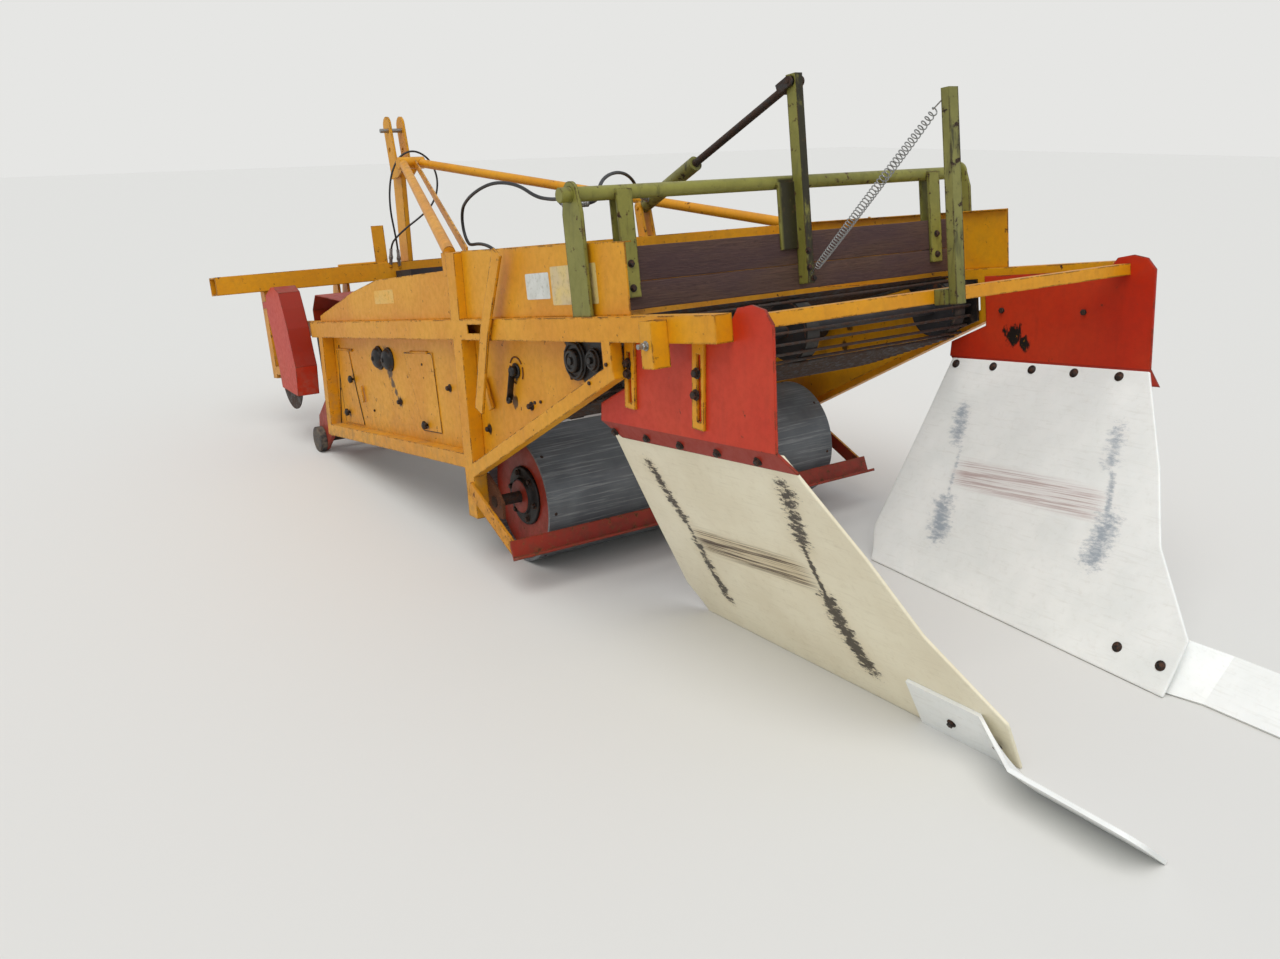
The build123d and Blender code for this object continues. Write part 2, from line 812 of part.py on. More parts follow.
def share_carrier():
    """Red plate in front of the side frame, with the shaft's hub on its outer face"""
    inner = CARRIER_HALF - CARRIER_THICK
    s, h = SHARE_AT
    outline = (upright_at(-400), (3600, -420), (s + 15, h + 130),
               (s + 68, h), (s - 20, h - 65), upright_at(-600))
    plate = side_plate(outline, inner, CARRIER_THICK) + round_x(68, (inner, CARRIER_HALF), SHARE_AT)
    plate -= side_bar(upright_at(0), upright_at(-700), FRAME_MID, TUBE_WIDTH, UPRIGHT_DEPTH)
    return plate - round_x(SHARE_JOURNAL + RUN_GAP, (inner, CARRIER_HALF), SHARE_AT)


def share_hub():
    return round_x(share_axis_height(), (CARRIER_HALF, CARRIER_HALF + HUB_DEPTH), SHARE_AT)


def apron():
    half = FRAME_MID - 4
    sheet = side_plate(((3470, -BEAM_DEPTH), (BEAM_LENGTH, -BEAM_DEPTH), (BEAM_LENGTH, -380), (3510, -380)),
                       half, 8)
    return sheet - side_bar(upright_at(0), upright_at(-700), FRAME_MID, TUBE_WIDTH, UPRIGHT_DEPTH)


def front_cover():
    """Bent sheet between the inner arms, over the front of the web"""
    half = ARM_HALF - ARM_WIDTH
    path = ((3400, 96), (3850, 140), (3930, 60), (3930, -150))
    cover = Part()
    for start, end in zip(path, path[1:]):
        cover += side_bar(start, end, 0, 2 * half, 4)
    return cover


add("share_shaft", share_shaft())
add("share_carriers", both(share_carrier()))
add("share_hubs", both(share_hub()))
add("aprons", both(apron()))
add("front_cover", front_cover())


# Front beam with its arms and lower-link lugs

BEAM_FRONT = FRONT_BEAM_REAR + FRONT_BEAM_DEPTH
BEAM_TOP_H = FRONT_BEAM_LOW_H + FRONT_BEAM_HEIGHT


def front_beam():
    beam = block((-FRONT_BEAM_HALF, FRONT_BEAM_HALF), (FRONT_BEAM_REAR, BEAM_FRONT),
                 (FRONT_BEAM_LOW_H, BEAM_TOP_H))
    wall = FRONT_BEAM_WALL
    beam -= block((-FRONT_BEAM_HALF, FRONT_BEAM_HALF), (FRONT_BEAM_REAR + wall, BEAM_FRONT - wall),
                  (FRONT_BEAM_LOW_H + wall, BEAM_TOP_H - wall))
    arm = block((ARM_HALF - ARM_WIDTH, ARM_HALF), (ARM_REAR, BEAM_FRONT - 40), (-BEAM_DEPTH, 0))
    arm += block((ARM_HALF - ARM_WIDTH, ARM_HALF), (FRONT_BEAM_REAR, BEAM_FRONT - 40), (0, FRONT_BEAM_LOW_H))
    pin_s, pin_h = LINK_PIN_AT
    for side in (-1, 1):
        start = LINK_HALF + side * LUG_GAP / 2
        outline = ((BEAM_FRONT, BEAM_TOP_H), (BEAM_FRONT, pin_h - 40), (pin_s, pin_h - 40),
                   (pin_s + 42, pin_h), (pin_s + 36, pin_h + 30), (BEAM_FRONT + 40, BEAM_TOP_H))
        lug = side_plate(outline, start, side * LUG_THICK)
        arm += lug - round_x(LINK_SHOULDER_RADIUS, (start, start + side * LUG_THICK), LINK_PIN_AT)
    for route in (MAST_ROUTE, MAST_ROUTE[::-1]):
        beam += fitting(route, FITTING_RADIUS, 78)
    beam += block((-228, -150), (FRONT_BEAM_REAR + 8, FRONT_BEAM_REAR + 16),
                  (BEAM_TOP_H - 4, BEAM_TOP_H + 230))
    beam += round_x(8, (-470, -228), (FRONT_BEAM_REAR + 12, BEAM_TOP_H + 6))
    return beam + arm + mirror(arm, about=Plane.YZ)


def hitch_pins():
    lug_reach = LUG_GAP / 2 + LUG_THICK
    shoulder = (LINK_HALF - lug_reach, LINK_HALF + lug_reach)
    lower = round_x(LINK_SHOULDER_RADIUS, shoulder, LINK_PIN_AT)
    lower += round_x(LINK_PIN_RADIUS, (shoulder[1], shoulder[1] + LINK_STUD), LINK_PIN_AT)
    upper = round_x(MAST_HOLE_RADIUS, (-MAST_HALF - 50, MAST_HALF + 12), MAST_PIN_AT)
    return Compound([lower.solid(), mirror(lower, about=Plane.YZ).solid(), upper.solid()])


MAST_KINK = ((4255, 874), (4366, 868))
MAST_FOOT_THICK = 30
STAY_TUBE_AT = (4150, 872)
STAY_TUBE_RADIUS = 36
STAY_TUBE_HALF = 82


def mast_outline():
    """Leaning plate with a rounded head and a tongue that holds the stays' cross tube"""
    rear, front = MAST_KINK
    s, h = STAY_TUBE_AT
    head = Pos(4336, 1118) * Circle(54)
    upper = make_face(Polyline(rear, (4283, 1126), (4389, 1108), front, close=True))
    tongue = make_face(Polyline((s, h + 28), rear, front, (front[0], h - 72), (rear[0], h - 72), (s, h - 28),
                                close=True))
    return head + upper + tongue


def mast():
    """Two head plates on a thick foot plate, with a short tube across for the stays"""
    rear, front = MAST_KINK
    half = MAST_FOOT_THICK / 2
    outline = ((FRONT_BEAM_REAR, BEAM_TOP_H), (rear[0] + 30, rear[1] - 10),
               (front[0] + 50, front[1] + 10), (BEAM_FRONT - 10, BEAM_TOP_H))
    foot = side_plate(outline, -half, 2 * half)
    foot += block((MAST_THICK - MAST_HALF, MAST_HALF - MAST_THICK), (rear[0] + 45, front[0] - 5),
                  (STAY_TUBE_AT[1] - 65, STAY_TUBE_AT[1] - 10))
    foot += round_x(STAY_TUBE_RADIUS, (-STAY_TUBE_HALF, STAY_TUBE_HALF), STAY_TUBE_AT)
    for side in (-1, 1):
        start = side * (MAST_HALF - MAST_THICK)
        plate = extrude(Plane.YZ.offset(start) * mast_outline(), side * MAST_THICK)
        for at in (MAST_PIN_AT, MAST_SPARE_AT):
            plate -= round_x(MAST_HOLE_RADIUS, (start, start + side * MAST_THICK), at)
        foot += plate
    return foot


def without_mounts(shape):
    """Brace trimmed where it meets the mast, the posts and the cross tube"""
    post_s = post_at(POST_TOP_H)[0]
    shape -= round_x(STAY_TUBE_RADIUS, (-STAY_TUBE_HALF, STAY_TUBE_HALF), STAY_TUBE_AT)
    for side in (-1, 1):
        shape -= side_bar(post_at(POST_TOP_H), post_at(0), side * FRAME_MID, TUBE_WIDTH, POST_DEPTH)
    reach = post_s + CROSS_TUBE_DEPTH / 2 + 6
    return shape - block((-FRAME_INNER, FRAME_INNER), (post_s - CROSS_TUBE_DEPTH, reach), (0, POST_TOP_H))


def mast_stay():
    """Round brace from the mast's cross tube to the front of the post's head, on a small gusset"""
    foot = Vector(FRAME_MID + 4, post_at(POST_TOP_H)[0] + 52, POST_TOP_H + 2)
    head = Vector(STAY_TUBE_HALF - STAY_RADIUS - 8, *STAY_TUBE_AT)
    run = head - foot
    stay = extrude(Plane(origin=foot, z_dir=run) * Circle(STAY_RADIUS), run.length)
    stay += block((UPPER_HALF + 5, FRAME_HALF - 6), (POST_AT, foot.Y + 40), (POST_TOP_H - 90, POST_TOP_H + 4))
    return without_mounts(stay)


def mast_strap():
    """Flat bar beside the left brace, from the mast to the end of the cross tube"""
    foot = Vector(-FRAME_INNER + 22, post_at(POST_TOP_H)[0] + 8, POST_TOP_H - 4)
    head = Vector(30, *STAY_TUBE_AT)
    run = head - foot
    bar = Plane(origin=foot, x_dir=(1, 0, 0), z_dir=run) * Rectangle(8, 40)
    return without_mounts(extrude(bar, run.length))


def gearbox():
    top = FRONT_BEAM_LOW_H + 50
    body = block((-110, 110), (FRONT_BEAM_REAR - GEARBOX_LENGTH, FRONT_BEAM_REAR), (-10, top))
    return body


def pto_stub():
    shaft = Plane.XZ.offset(-FRONT_BEAM_REAR) * Pos(0, PTO_H)
    stub = Plane.XZ.offset(-BEAM_FRONT) * Pos(0, PTO_H)
    inner = extrude(shaft * Circle(PTO_SHAFT_RADIUS), -FRONT_BEAM_DEPTH)
    return inner + extrude(stub * Circle(PTO_RADIUS), -PTO_STUB)


add("front_beam", front_beam())
add("hitch_pins", hitch_pins())
add("mast", mast())
add("mast_stays", Compound(list(both(mast_stay()).solids()) + [mast_strap().solid()]))
add("gearbox", gearbox())
add("pto_stub", pto_stub())


# Disc coulters

LEG_AT = FRONT_BEAM_REAR + FRONT_BEAM_DEPTH / 2
HUB_INNER = LEG_OUTER + FREE_GAP
HUB_WIDTH = 44


def coulter_leg():
    """Leg under the front beam with a trailing arm and the disc's stub axle"""
    inner = LEG_OUTER - LEG_WIDTH
    leg = block((inner, LEG_OUTER), (LEG_AT - LEG_DEPTH / 2, LEG_AT + LEG_DEPTH / 2),
                (LEG_FOOT_H, FRONT_BEAM_LOW_H))
    arm = side_bar((LEG_AT, LEG_FOOT_H + 50), DISC_AT, LEG_OUTER - 10, 20, 50)
    arm += round_x(30, (LEG_OUTER - 20, LEG_OUTER), DISC_AT)
    return leg + arm + round_x(DISC_AXLE_RADIUS, (LEG_OUTER, HUB_INNER + HUB_WIDTH - 4), DISC_AT)


def coulter_disc():
    """Flat disc on a bored hub"""
    disc = round_x(DISC_RADIUS, (HUB_INNER + 25, HUB_INNER + 25 + DISC_THICK), DISC_AT)
    disc += round_x(40, (HUB_INNER, HUB_INNER + HUB_WIDTH), DISC_AT)
    return disc - round_x(DISC_AXLE_RADIUS + RUN_GAP, (HUB_INNER, HUB_INNER + HUB_WIDTH), DISC_AT)


GUARD_FRONT = ((3990, 205), (4120, 165), (4140, 60), (4100, -75), (4070, -235), (4060, -360))
GUARD_REAR = ((3780, -400), (3745, -240), (3765, -160), (3790, -30), (3825, 80), (3860, 170), (3930, 205))


def disc_guard():
    """Narrow fender: outer face with a wide band over its top and rear"""
    face = side_plate(GUARD_FRONT + GUARD_REAR, GUARD_OUTER - GUARD_SHEET, GUARD_SHEET)
    band = Part()
    path = GUARD_REAR + GUARD_FRONT[:2]
    for start, end in zip(path, path[1:]):
        band += side_bar(start, end, (GUARD_INNER + GUARD_OUTER) / 2, GUARD_OUTER - GUARD_INNER, GUARD_SHEET)
    stay = side_bar((LEG_AT, GUARD_STAY_H), (4050, GUARD_STAY_H), LEG_OUTER + 4, 8, 40)
    stay += round_x(15, (LEG_OUTER, GUARD_OUTER - GUARD_SHEET), (4070, GUARD_STAY_H))
    return face + band + stay


add("coulter_legs", both(coulter_leg()))
add_pair("coulter_disc", coulter_disc())
add("disc_guards", both(disc_guard()))


# Tilting board

def swing_post():
    s, h = PIPE_AT
    inner = SWING_POST_HALF - SWING_POST_THICK
    half = SWING_POST_WIDTH / 2
    outline = ((s - half, 0), (s - half, 330), (s - 42, h), (s + 42, h), (s + half, 330), (s + half, 0))
    post = side_plate(outline, inner, SWING_POST_THICK)
    post += round_x(42, (inner, SWING_POST_HALF), PIPE_AT)
    return post - round_x(PIPE_RADIUS + RUN_GAP, (inner, SWING_POST_HALF), PIPE_AT)


def hose_tee():
    """Tee of the three hoses on a lug of the left swing post"""
    x, s, h = RAM_ROUTE[0]
    lug = block((-SWING_POST_HALF + SWING_POST_THICK, x - 21), (s - 47, s - 12), (h - 52, h - 15))
    return lug + block((x - 43, x - 1 - SEAT_GAP), (s - 20, s + 20 - SEAT_GAP), (h - 20 + SEAT_GAP, h + 22))


def swing_frame():
    """Pipe with a middle lever and two pairs of flat hangers"""
    s, h = PIPE_AT
    frame = round_x(PIPE_RADIUS, (PIPE_LEFT, PIPE_RIGHT), PIPE_AT)
    face = s - PIPE_RADIUS + 1
    frame += block((LEVER_X - LEVER_WIDTH / 2, LEVER_X + LEVER_WIDTH / 2), (face - LEVER_DEPTH, face),
                   (22, LEVER_TOP_H))
    for x in (-HANGER_AT, HANGER_AT):
        frame += block((x - 30, x + 30), (face - 12, face), (45, h + 8))
        front = face + BOARD_THICK
        frame += block((x - 25, x + 25), (front, front + 8), (45, h + 4))
    frame += block((LEVER_X - 95, LEVER_X), (face - 8, face), (BOARD_TOP_H - 60, h))
    return frame - round_x(FORK_PIN_RADIUS + FORK_PIN_GAP, (LEVER_X - LEVER_WIDTH, LEVER_X + LEVER_WIDTH),
                           (face - LEVER_DEPTH / 2, LEVER_PIN_H))


def swing_board():
    face = PIPE_AT[0] - PIPE_RADIUS + 1
    return block((-BOARD_HALF, BOARD_HALF), (face, face + BOARD_THICK), (BOARD_LOW_H, BOARD_TOP_H))


def tall_post():
    """Post of the return spring, clamped on the rear beam"""
    rear = REAR_BEAM_AT - REAR_BEAM_DEPTH / 2
    post = block((-125, -85), (rear - 70, rear - 40), (-55, 570))
    return post + block((-145, -65), (rear - 40, rear), (-55, -8))


SPRING_RADIUS = 14


def spring():
    """Closed form of the long return spring, from the post's head to the lever's foot"""
    post_front = REAR_BEAM_AT - REAR_BEAM_DEPTH / 2 - 40
    lever_rear = PIPE_AT[0] - PIPE_RADIUS + 1 - LEVER_DEPTH
    top = Vector(-100, post_front, 550)
    foot = Vector(LEVER_X - 6, lever_rear, 48)
    run = (foot - top).normalized()
    reach = (foot - top).length + 2 * SPRING_RADIUS
    tube = extrude(Plane(origin=top - run * SPRING_RADIUS, z_dir=run) * Circle(SPRING_RADIUS), reach)
    tube -= block((-300, 300), (post_front - 200, post_front + SEAT_GAP), (0, 900))
    return tube - block((-300, 300), (lever_rear - SEAT_GAP, lever_rear + 200), (-100, 300))


left_swing_post = mirror(swing_post(), about=Plane.YZ) + hose_tee()
add("swing_posts", Compound([swing_post().solid(), left_swing_post.solid()]))
add("swing_frame", swing_frame())
add("swing_board", swing_board())
add("tall_post", tall_post())
add("return_spring", spring())


# Ram

LEVER_PIN_AT = (PIPE_AT[0] - PIPE_RADIUS + 1 - LEVER_DEPTH / 2, LEVER_PIN_H)
RAM_RUN = Vector(0, LEVER_PIN_AT[0] - RAM_EYE_AT[0], LEVER_PIN_AT[1] - RAM_EYE_AT[1])
RAM_PLANE = Plane(origin=(LEVER_X, *RAM_EYE_AT), x_dir=(1, 0, 0), z_dir=RAM_RUN)


def along_ram(radius, start, end):
    """Round length of the ram between two distances from its rear eye"""
    return extrude(RAM_PLANE.offset(start) * Circle(radius), end - start)


def ram_barrel():
    barrel = along_ram(RAM_RADIUS, 36, RAM_LENGTH)
    barrel -= along_ram(RAM_BORE, 60, RAM_LENGTH - 30)
    barrel -= along_ram(RAM_ROD_RADIUS + RUN_GAP, 60, RAM_LENGTH)
    half = EYE_WIDTH / 2
    barrel += round_x(EYE_RADIUS, (LEVER_X - half, LEVER_X + half), RAM_EYE_AT)
    barrel += along_ram(14, 10, 40)
    barrel += fitting(RAM_ROUTE, FITTING_RADIUS, 18)
    return barrel - round_x(RAM_PIN_RADIUS + RUN_GAP, (LEVER_X - half, LEVER_X + half), RAM_EYE_AT)


def ram_rod():
    """Rod with its piston and a pinned fork round the lever's head"""
    reach = RAM_RUN.length
    rod = along_ram(RAM_ROD_RADIUS, PISTON_AT, reach - 60)
    rod += along_ram(RAM_BORE - RUN_GAP, PISTON_AT, PISTON_AT + PISTON_LENGTH)
    gap = LEVER_WIDTH / 2 + FREE_GAP
    rod += extrude(RAM_PLANE.offset(reach - 64) * Rectangle(2 * gap + 20, 36), 14)
    for side in (-1, 1):
        start = LEVER_X + side * gap
        tine = extrude(RAM_PLANE.offset(reach - 55) * Pos(side * (gap + 5), 0) * Rectangle(10, 36), 55)
        tine += round_x(18, (start, start + side * 10), LEVER_PIN_AT)
        rod += tine
    return rod + round_x(FORK_PIN_RADIUS, (LEVER_X - gap - 14, LEVER_X + gap + 14), LEVER_PIN_AT)


add("ram_barrel", ram_barrel())
add("ram_rod", ram_rod())
add("hose_feed", cord(FEED_ROUTE, HOSE_RADIUS))
add("hose_ram", cord(RAM_ROUTE, HOSE_RADIUS))
add("hose_drop", cord(DROP_ROUTE, HOSE_RADIUS))
add("hose_mast", cord(MAST_ROUTE, LOOP_RADIUS))


# The origin is under the middle of the whole machine, on the ground

def machine_shift():
    boxes = [piece.bounding_box() for piece in pieces.values()]
    rear = min(box.min.Y for box in boxes)
    front = max(box.max.Y for box in boxes)
    return Pos(0, -(rear + front) / 2, 0)


SHIFT = machine_shift()

os.makedirs("parts", exist_ok=True)
for name, piece in pieces.items():
    export_step(SHIFT * piece, f"parts/{name}.step")


def anchor(name, x, s, h):
    point = (SHIFT * BODY * Pos(x, s, h)).position
    print(f"anchor {name} {point.X:.3f} {point.Y:.3f} {point.Z:.3f}")


anchor("datum", 0, 0, 0)
anchor("pipe", 0, *PIPE_AT)
anchor("share", 0, *SHARE_AT)
anchor("disc", 0, *DISC_AT)
anchor("ram_eye", LEVER_X, *RAM_EYE_AT)
anchor("ram_pin", LEVER_X, *LEVER_PIN_AT)
anchor("link_pin", LINK_HALF, *LINK_PIN_AT)
anchor("mast_pin", 0, *MAST_PIN_AT)
anchor("pto", 0, BEAM_FRONT + PTO_STUB / 2, PTO_H)
for name, outline in DOORS:
    anchor(f"door_{name}_rear", FRAME_INNER, *outline[0])
    anchor(f"door_{name}_front", FRAME_INNER, *outline[1])
roller = (SHIFT * Pos(0, *ROLLER_AT)).position
print(f"anchor roller {roller.X:.3f} {roller.Y:.3f} {roller.Z:.3f}")
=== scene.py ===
import math
import bpy
import numpy as np
from mathutils import Matrix, Vector


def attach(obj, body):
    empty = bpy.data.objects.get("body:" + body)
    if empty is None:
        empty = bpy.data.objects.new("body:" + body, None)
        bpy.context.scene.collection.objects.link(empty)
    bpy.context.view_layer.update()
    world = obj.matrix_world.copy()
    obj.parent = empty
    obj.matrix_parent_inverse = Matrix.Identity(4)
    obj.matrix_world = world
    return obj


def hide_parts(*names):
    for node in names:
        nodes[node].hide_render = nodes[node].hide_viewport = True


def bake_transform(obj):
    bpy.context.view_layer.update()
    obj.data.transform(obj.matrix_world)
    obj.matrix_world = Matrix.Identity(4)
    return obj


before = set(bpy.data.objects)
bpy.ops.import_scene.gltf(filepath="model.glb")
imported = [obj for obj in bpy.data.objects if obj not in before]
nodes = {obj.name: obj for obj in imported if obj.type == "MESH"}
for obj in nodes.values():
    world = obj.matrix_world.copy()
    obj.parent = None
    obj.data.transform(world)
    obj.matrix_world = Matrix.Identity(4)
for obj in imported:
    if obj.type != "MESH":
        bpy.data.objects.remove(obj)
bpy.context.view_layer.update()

# The machine stands nose down. Body coordinates are x, s (forward along the side beams)
# and h (square to them, upwards), in metres from the beams' rear ends.
stance = {"tilt": math.radians(8.46), "datumY": -1.697290, "datumZ": 1.264}


def fromBody(points):
    # y = y0 + s cos(t) + h sin(t), z = z0 - s sin(t) + h cos(t)
    points = np.asarray(points, float)
    x, s, h = points[..., 0], points[..., 1], points[..., 2]
    c, n = math.cos(stance["tilt"]), math.sin(stance["tilt"])
    return np.stack([x, stance["datumY"] + s * c + h * n, stance["datumZ"] - s * n + h * c], -1)


# Colours and node trees

def linear(hexColour):
    # sRGB to linear: c / 12.92 below 0.04045, ((c + 0.055) / 1.055) ^ 2.4 above
    channels = [int(hexColour[i:i + 2], 16) / 255 for i in (1, 3, 5)]
    return (*(c / 12.92 if c <= 0.04045 else ((c + 0.055) / 1.055) ** 2.4 for c in channels), 1.0)


def addNode(tree, kind, links=(), out=0, **settings):
    # one node with its own settings; its inputs, in their order or by name, get a value, a hex colour or a
    # link, and the output of that number or name comes back
    made = tree.nodes.new("ShaderNode" + kind)
    for name, value in settings.items():
        setattr(made, name, value)
    for name, value in (links.items() if isinstance(links, dict) else enumerate(links)):
        if isinstance(value, bpy.types.NodeSocket):
            tree.links.new(value, made.inputs[name])
        else:
            made.inputs[name].default_value = linear(value) if isinstance(value, str) else value
    return made.outputs[out] if made.outputs else made


def freshMaterial(name):
    made = bpy.data.materials.new(name)
    made.use_nodes = True
    made.node_tree.nodes.clear()
    return made, made.node_tree


def perMm(size):
    # noise scale whose features are about that many millimetres across
    return 1000.0 / size


# Finishes

def softened(tree, edgeRadius):
    # object coordinates, and a normal that rounds the edges over that radius
    return addNode(tree, "TexCoord", out="Object"), addNode(tree, "Bevel", [edgeRadius], samples=4)


def edgeMask(tree, soft):
    # 1 on sharp outer edges, where the rounded normal leaves the face's own
    flat = addNode(tree, "NewGeometry", out="True Normal")
    same = addNode(tree, "VectorMath", [soft, flat], "Value", operation="DOT_PRODUCT")
    return addNode(tree, "MapRange", [same, 0.995, 0.86])


def noiseAt(tree, place, size, detail=6, roughness=0.55, stretch=(1, 1, 1), low=0.0, high=1.0, offset=0.0):
    # noise with features of that many mm, stretched by factors per axis, spread from low..high to 0..1
    scale, shift = [1 / k for k in stretch], [offset] * 3
    moved = addNode(tree, "Mapping", {"Vector": place, "Scale": scale, "Location": shift})
    noise = addNode(tree, "TexNoise", {"Vector": moved, "Scale": perMm(size), "Detail": detail,
                                       "Roughness": roughness})
    return addNode(tree, "MapRange", [noise, low, high], interpolation_type="SMOOTHSTEP")


def facing(tree, axis):
    # how far a face looks along that axis, from -1 to 1
    return addNode(tree, "SeparateXYZ", [addNode(tree, "NewGeometry", out="Normal")], axis)


def within(tree, *masks):
    # 1 where all the masks are
    product = masks[0]
    for mask in masks[1:]:
        product = addNode(tree, "Math", [product, mask], operation="MULTIPLY")
    return product


def coated(tree, colour, coats):
    # coats laid over the colour one after another: a mask, how much of it covers, and its tone
    for mask, share, tone in coats:
        cover = within(tree, mask, share)
        colour = addNode(tree, "Mix", {0: cover, 6: colour, 7: tone}, 2, data_type="RGBA")
    return colour


def finished(made, tree, sockets):
    # the shader with its sockets set by name, put out as the material's surface
    addNode(tree, "OutputMaterial", [addNode(tree, "BsdfPrincipled", sockets)])
    return made


# where the extra coats of the enamels start and are full, in metres or as a share of a face's lean
coatPlaces = {"wall": (0.850, 0.856), "armsOutside": (0.921, 0.922), "armsAhead": (-0.452, -0.448),
              "armsOutward": (-0.3, -0.1), "skirt": (0.10, 0.25), "lever": (0.075, 0.06),
              "rearward": (-0.6, -0.9), "oilRim": (0.72, 0.90), "oilNear": (0.0, 0.15)}


def creptOil(tree, place, spots, rightOnly=False):
    # 1 near any spot, its rim broken up by noise and drawn out downwards; only on walls that face sideways
    x, y, z = (addNode(tree, "SeparateXYZ", [place], axis) for axis in "XYZ")
    flat = addNode(tree, "CombineXYZ", [0.0, y, z])
    broken = noiseAt(tree, place, 26, 9, 0.68, (1, 1, 2.5), 0.25, 0.8, 11.0)
    reach = 0.0
    for spotY, spotZ, radius in spots:
        away = addNode(tree, "VectorMath", [flat, (0, spotY, spotZ)], "Value", operation="DISTANCE")
        near = addNode(tree, "MapRange", [away, 0.0, radius, 1.0, 0.0])
        reach = addNode(tree, "Math", [near, reach], operation="MAXIMUM")
    ragged = addNode(tree, "Math", [broken, 0.75, reach], operation="MULTIPLY_ADD")
    spread = addNode(tree, "MapRange", [ragged, *coatPlaces["oilRim"]])
    side = x if rightOnly else addNode(tree, "Math", [x], operation="ABSOLUTE")
    wall = addNode(tree, "MapRange", [side, *coatPlaces["wall"]])
    return within(tree, spread, wall, addNode(tree, "MapRange", [reach, *coatPlaces["oilNear"]]))


def scraperArms(tree, place):
    # 1 on the outer faces of the scraper's end plates, which keep the yellow of the frame
    x, y = (addNode(tree, "SeparateXYZ", [place], axis) for axis in "XY")
    side = addNode(tree, "Math", [x], operation="ABSOLUTE")
    outward = addNode(tree, "MapRange", [within(tree, facing(tree, "X"), x), *coatPlaces["armsOutward"]])
    outside = addNode(tree, "MapRange", [side, *coatPlaces["armsOutside"]])
    ahead = addNode(tree, "MapRange", [y, *coatPlaces["armsAhead"]])
    return within(tree, outside, ahead, outward)


def plateSkirt(tree):
    # 1 below the guide plates' kink, where the plate leans over and its paint has gone dull
    lean = addNode(tree, "Math", [facing(tree, "Z")], operation="ABSOLUTE")
    return addNode(tree, "MapRange", [lean, *coatPlaces["skirt"]])


def leverSoot(tree, place):
    # 1 on the rear face of the middle lever, which is black with old oil
    rearward = addNode(tree, "MapRange", [facing(tree, "Y"), *coatPlaces["rearward"]])
    aside = addNode(tree, "Math", [addNode(tree, "SeparateXYZ", [place], "X")], operation="ABSOLUTE")
    middle = addNode(tree, "MapRange", [aside, *coatPlaces["lever"]])
    return within(tree, rearward, middle, noiseAt(tree, place, 60, 8, 0.7, (1, 1, 2), 0.28, 0.44, 5.2))


def fieldSoil(tree, place, look):
    # dust on what faces up, and soil thrown up from the ground, whichever is more
    upward = addNode(tree, "MapRange", [facing(tree, "Z"), 0.55, 1.0])
    low = addNode(tree, "MapRange", [addNode(tree, "SeparateXYZ", [place], "Z"), 0.55, 0.05])
    settled = noiseAt(tree, place, 70, 8, 0.65, low=0.35, high=0.72, offset=6.6)
    thrown = noiseAt(tree, place, 45, 10, 0.7, low=0.38, high=0.68, offset=4.4)
    dust, soil = within(tree, upward, settled, look["dust"]), within(tree, low, thrown, look["soil"])
    return addNode(tree, "Math", [dust, soil], operation="MAXIMUM")


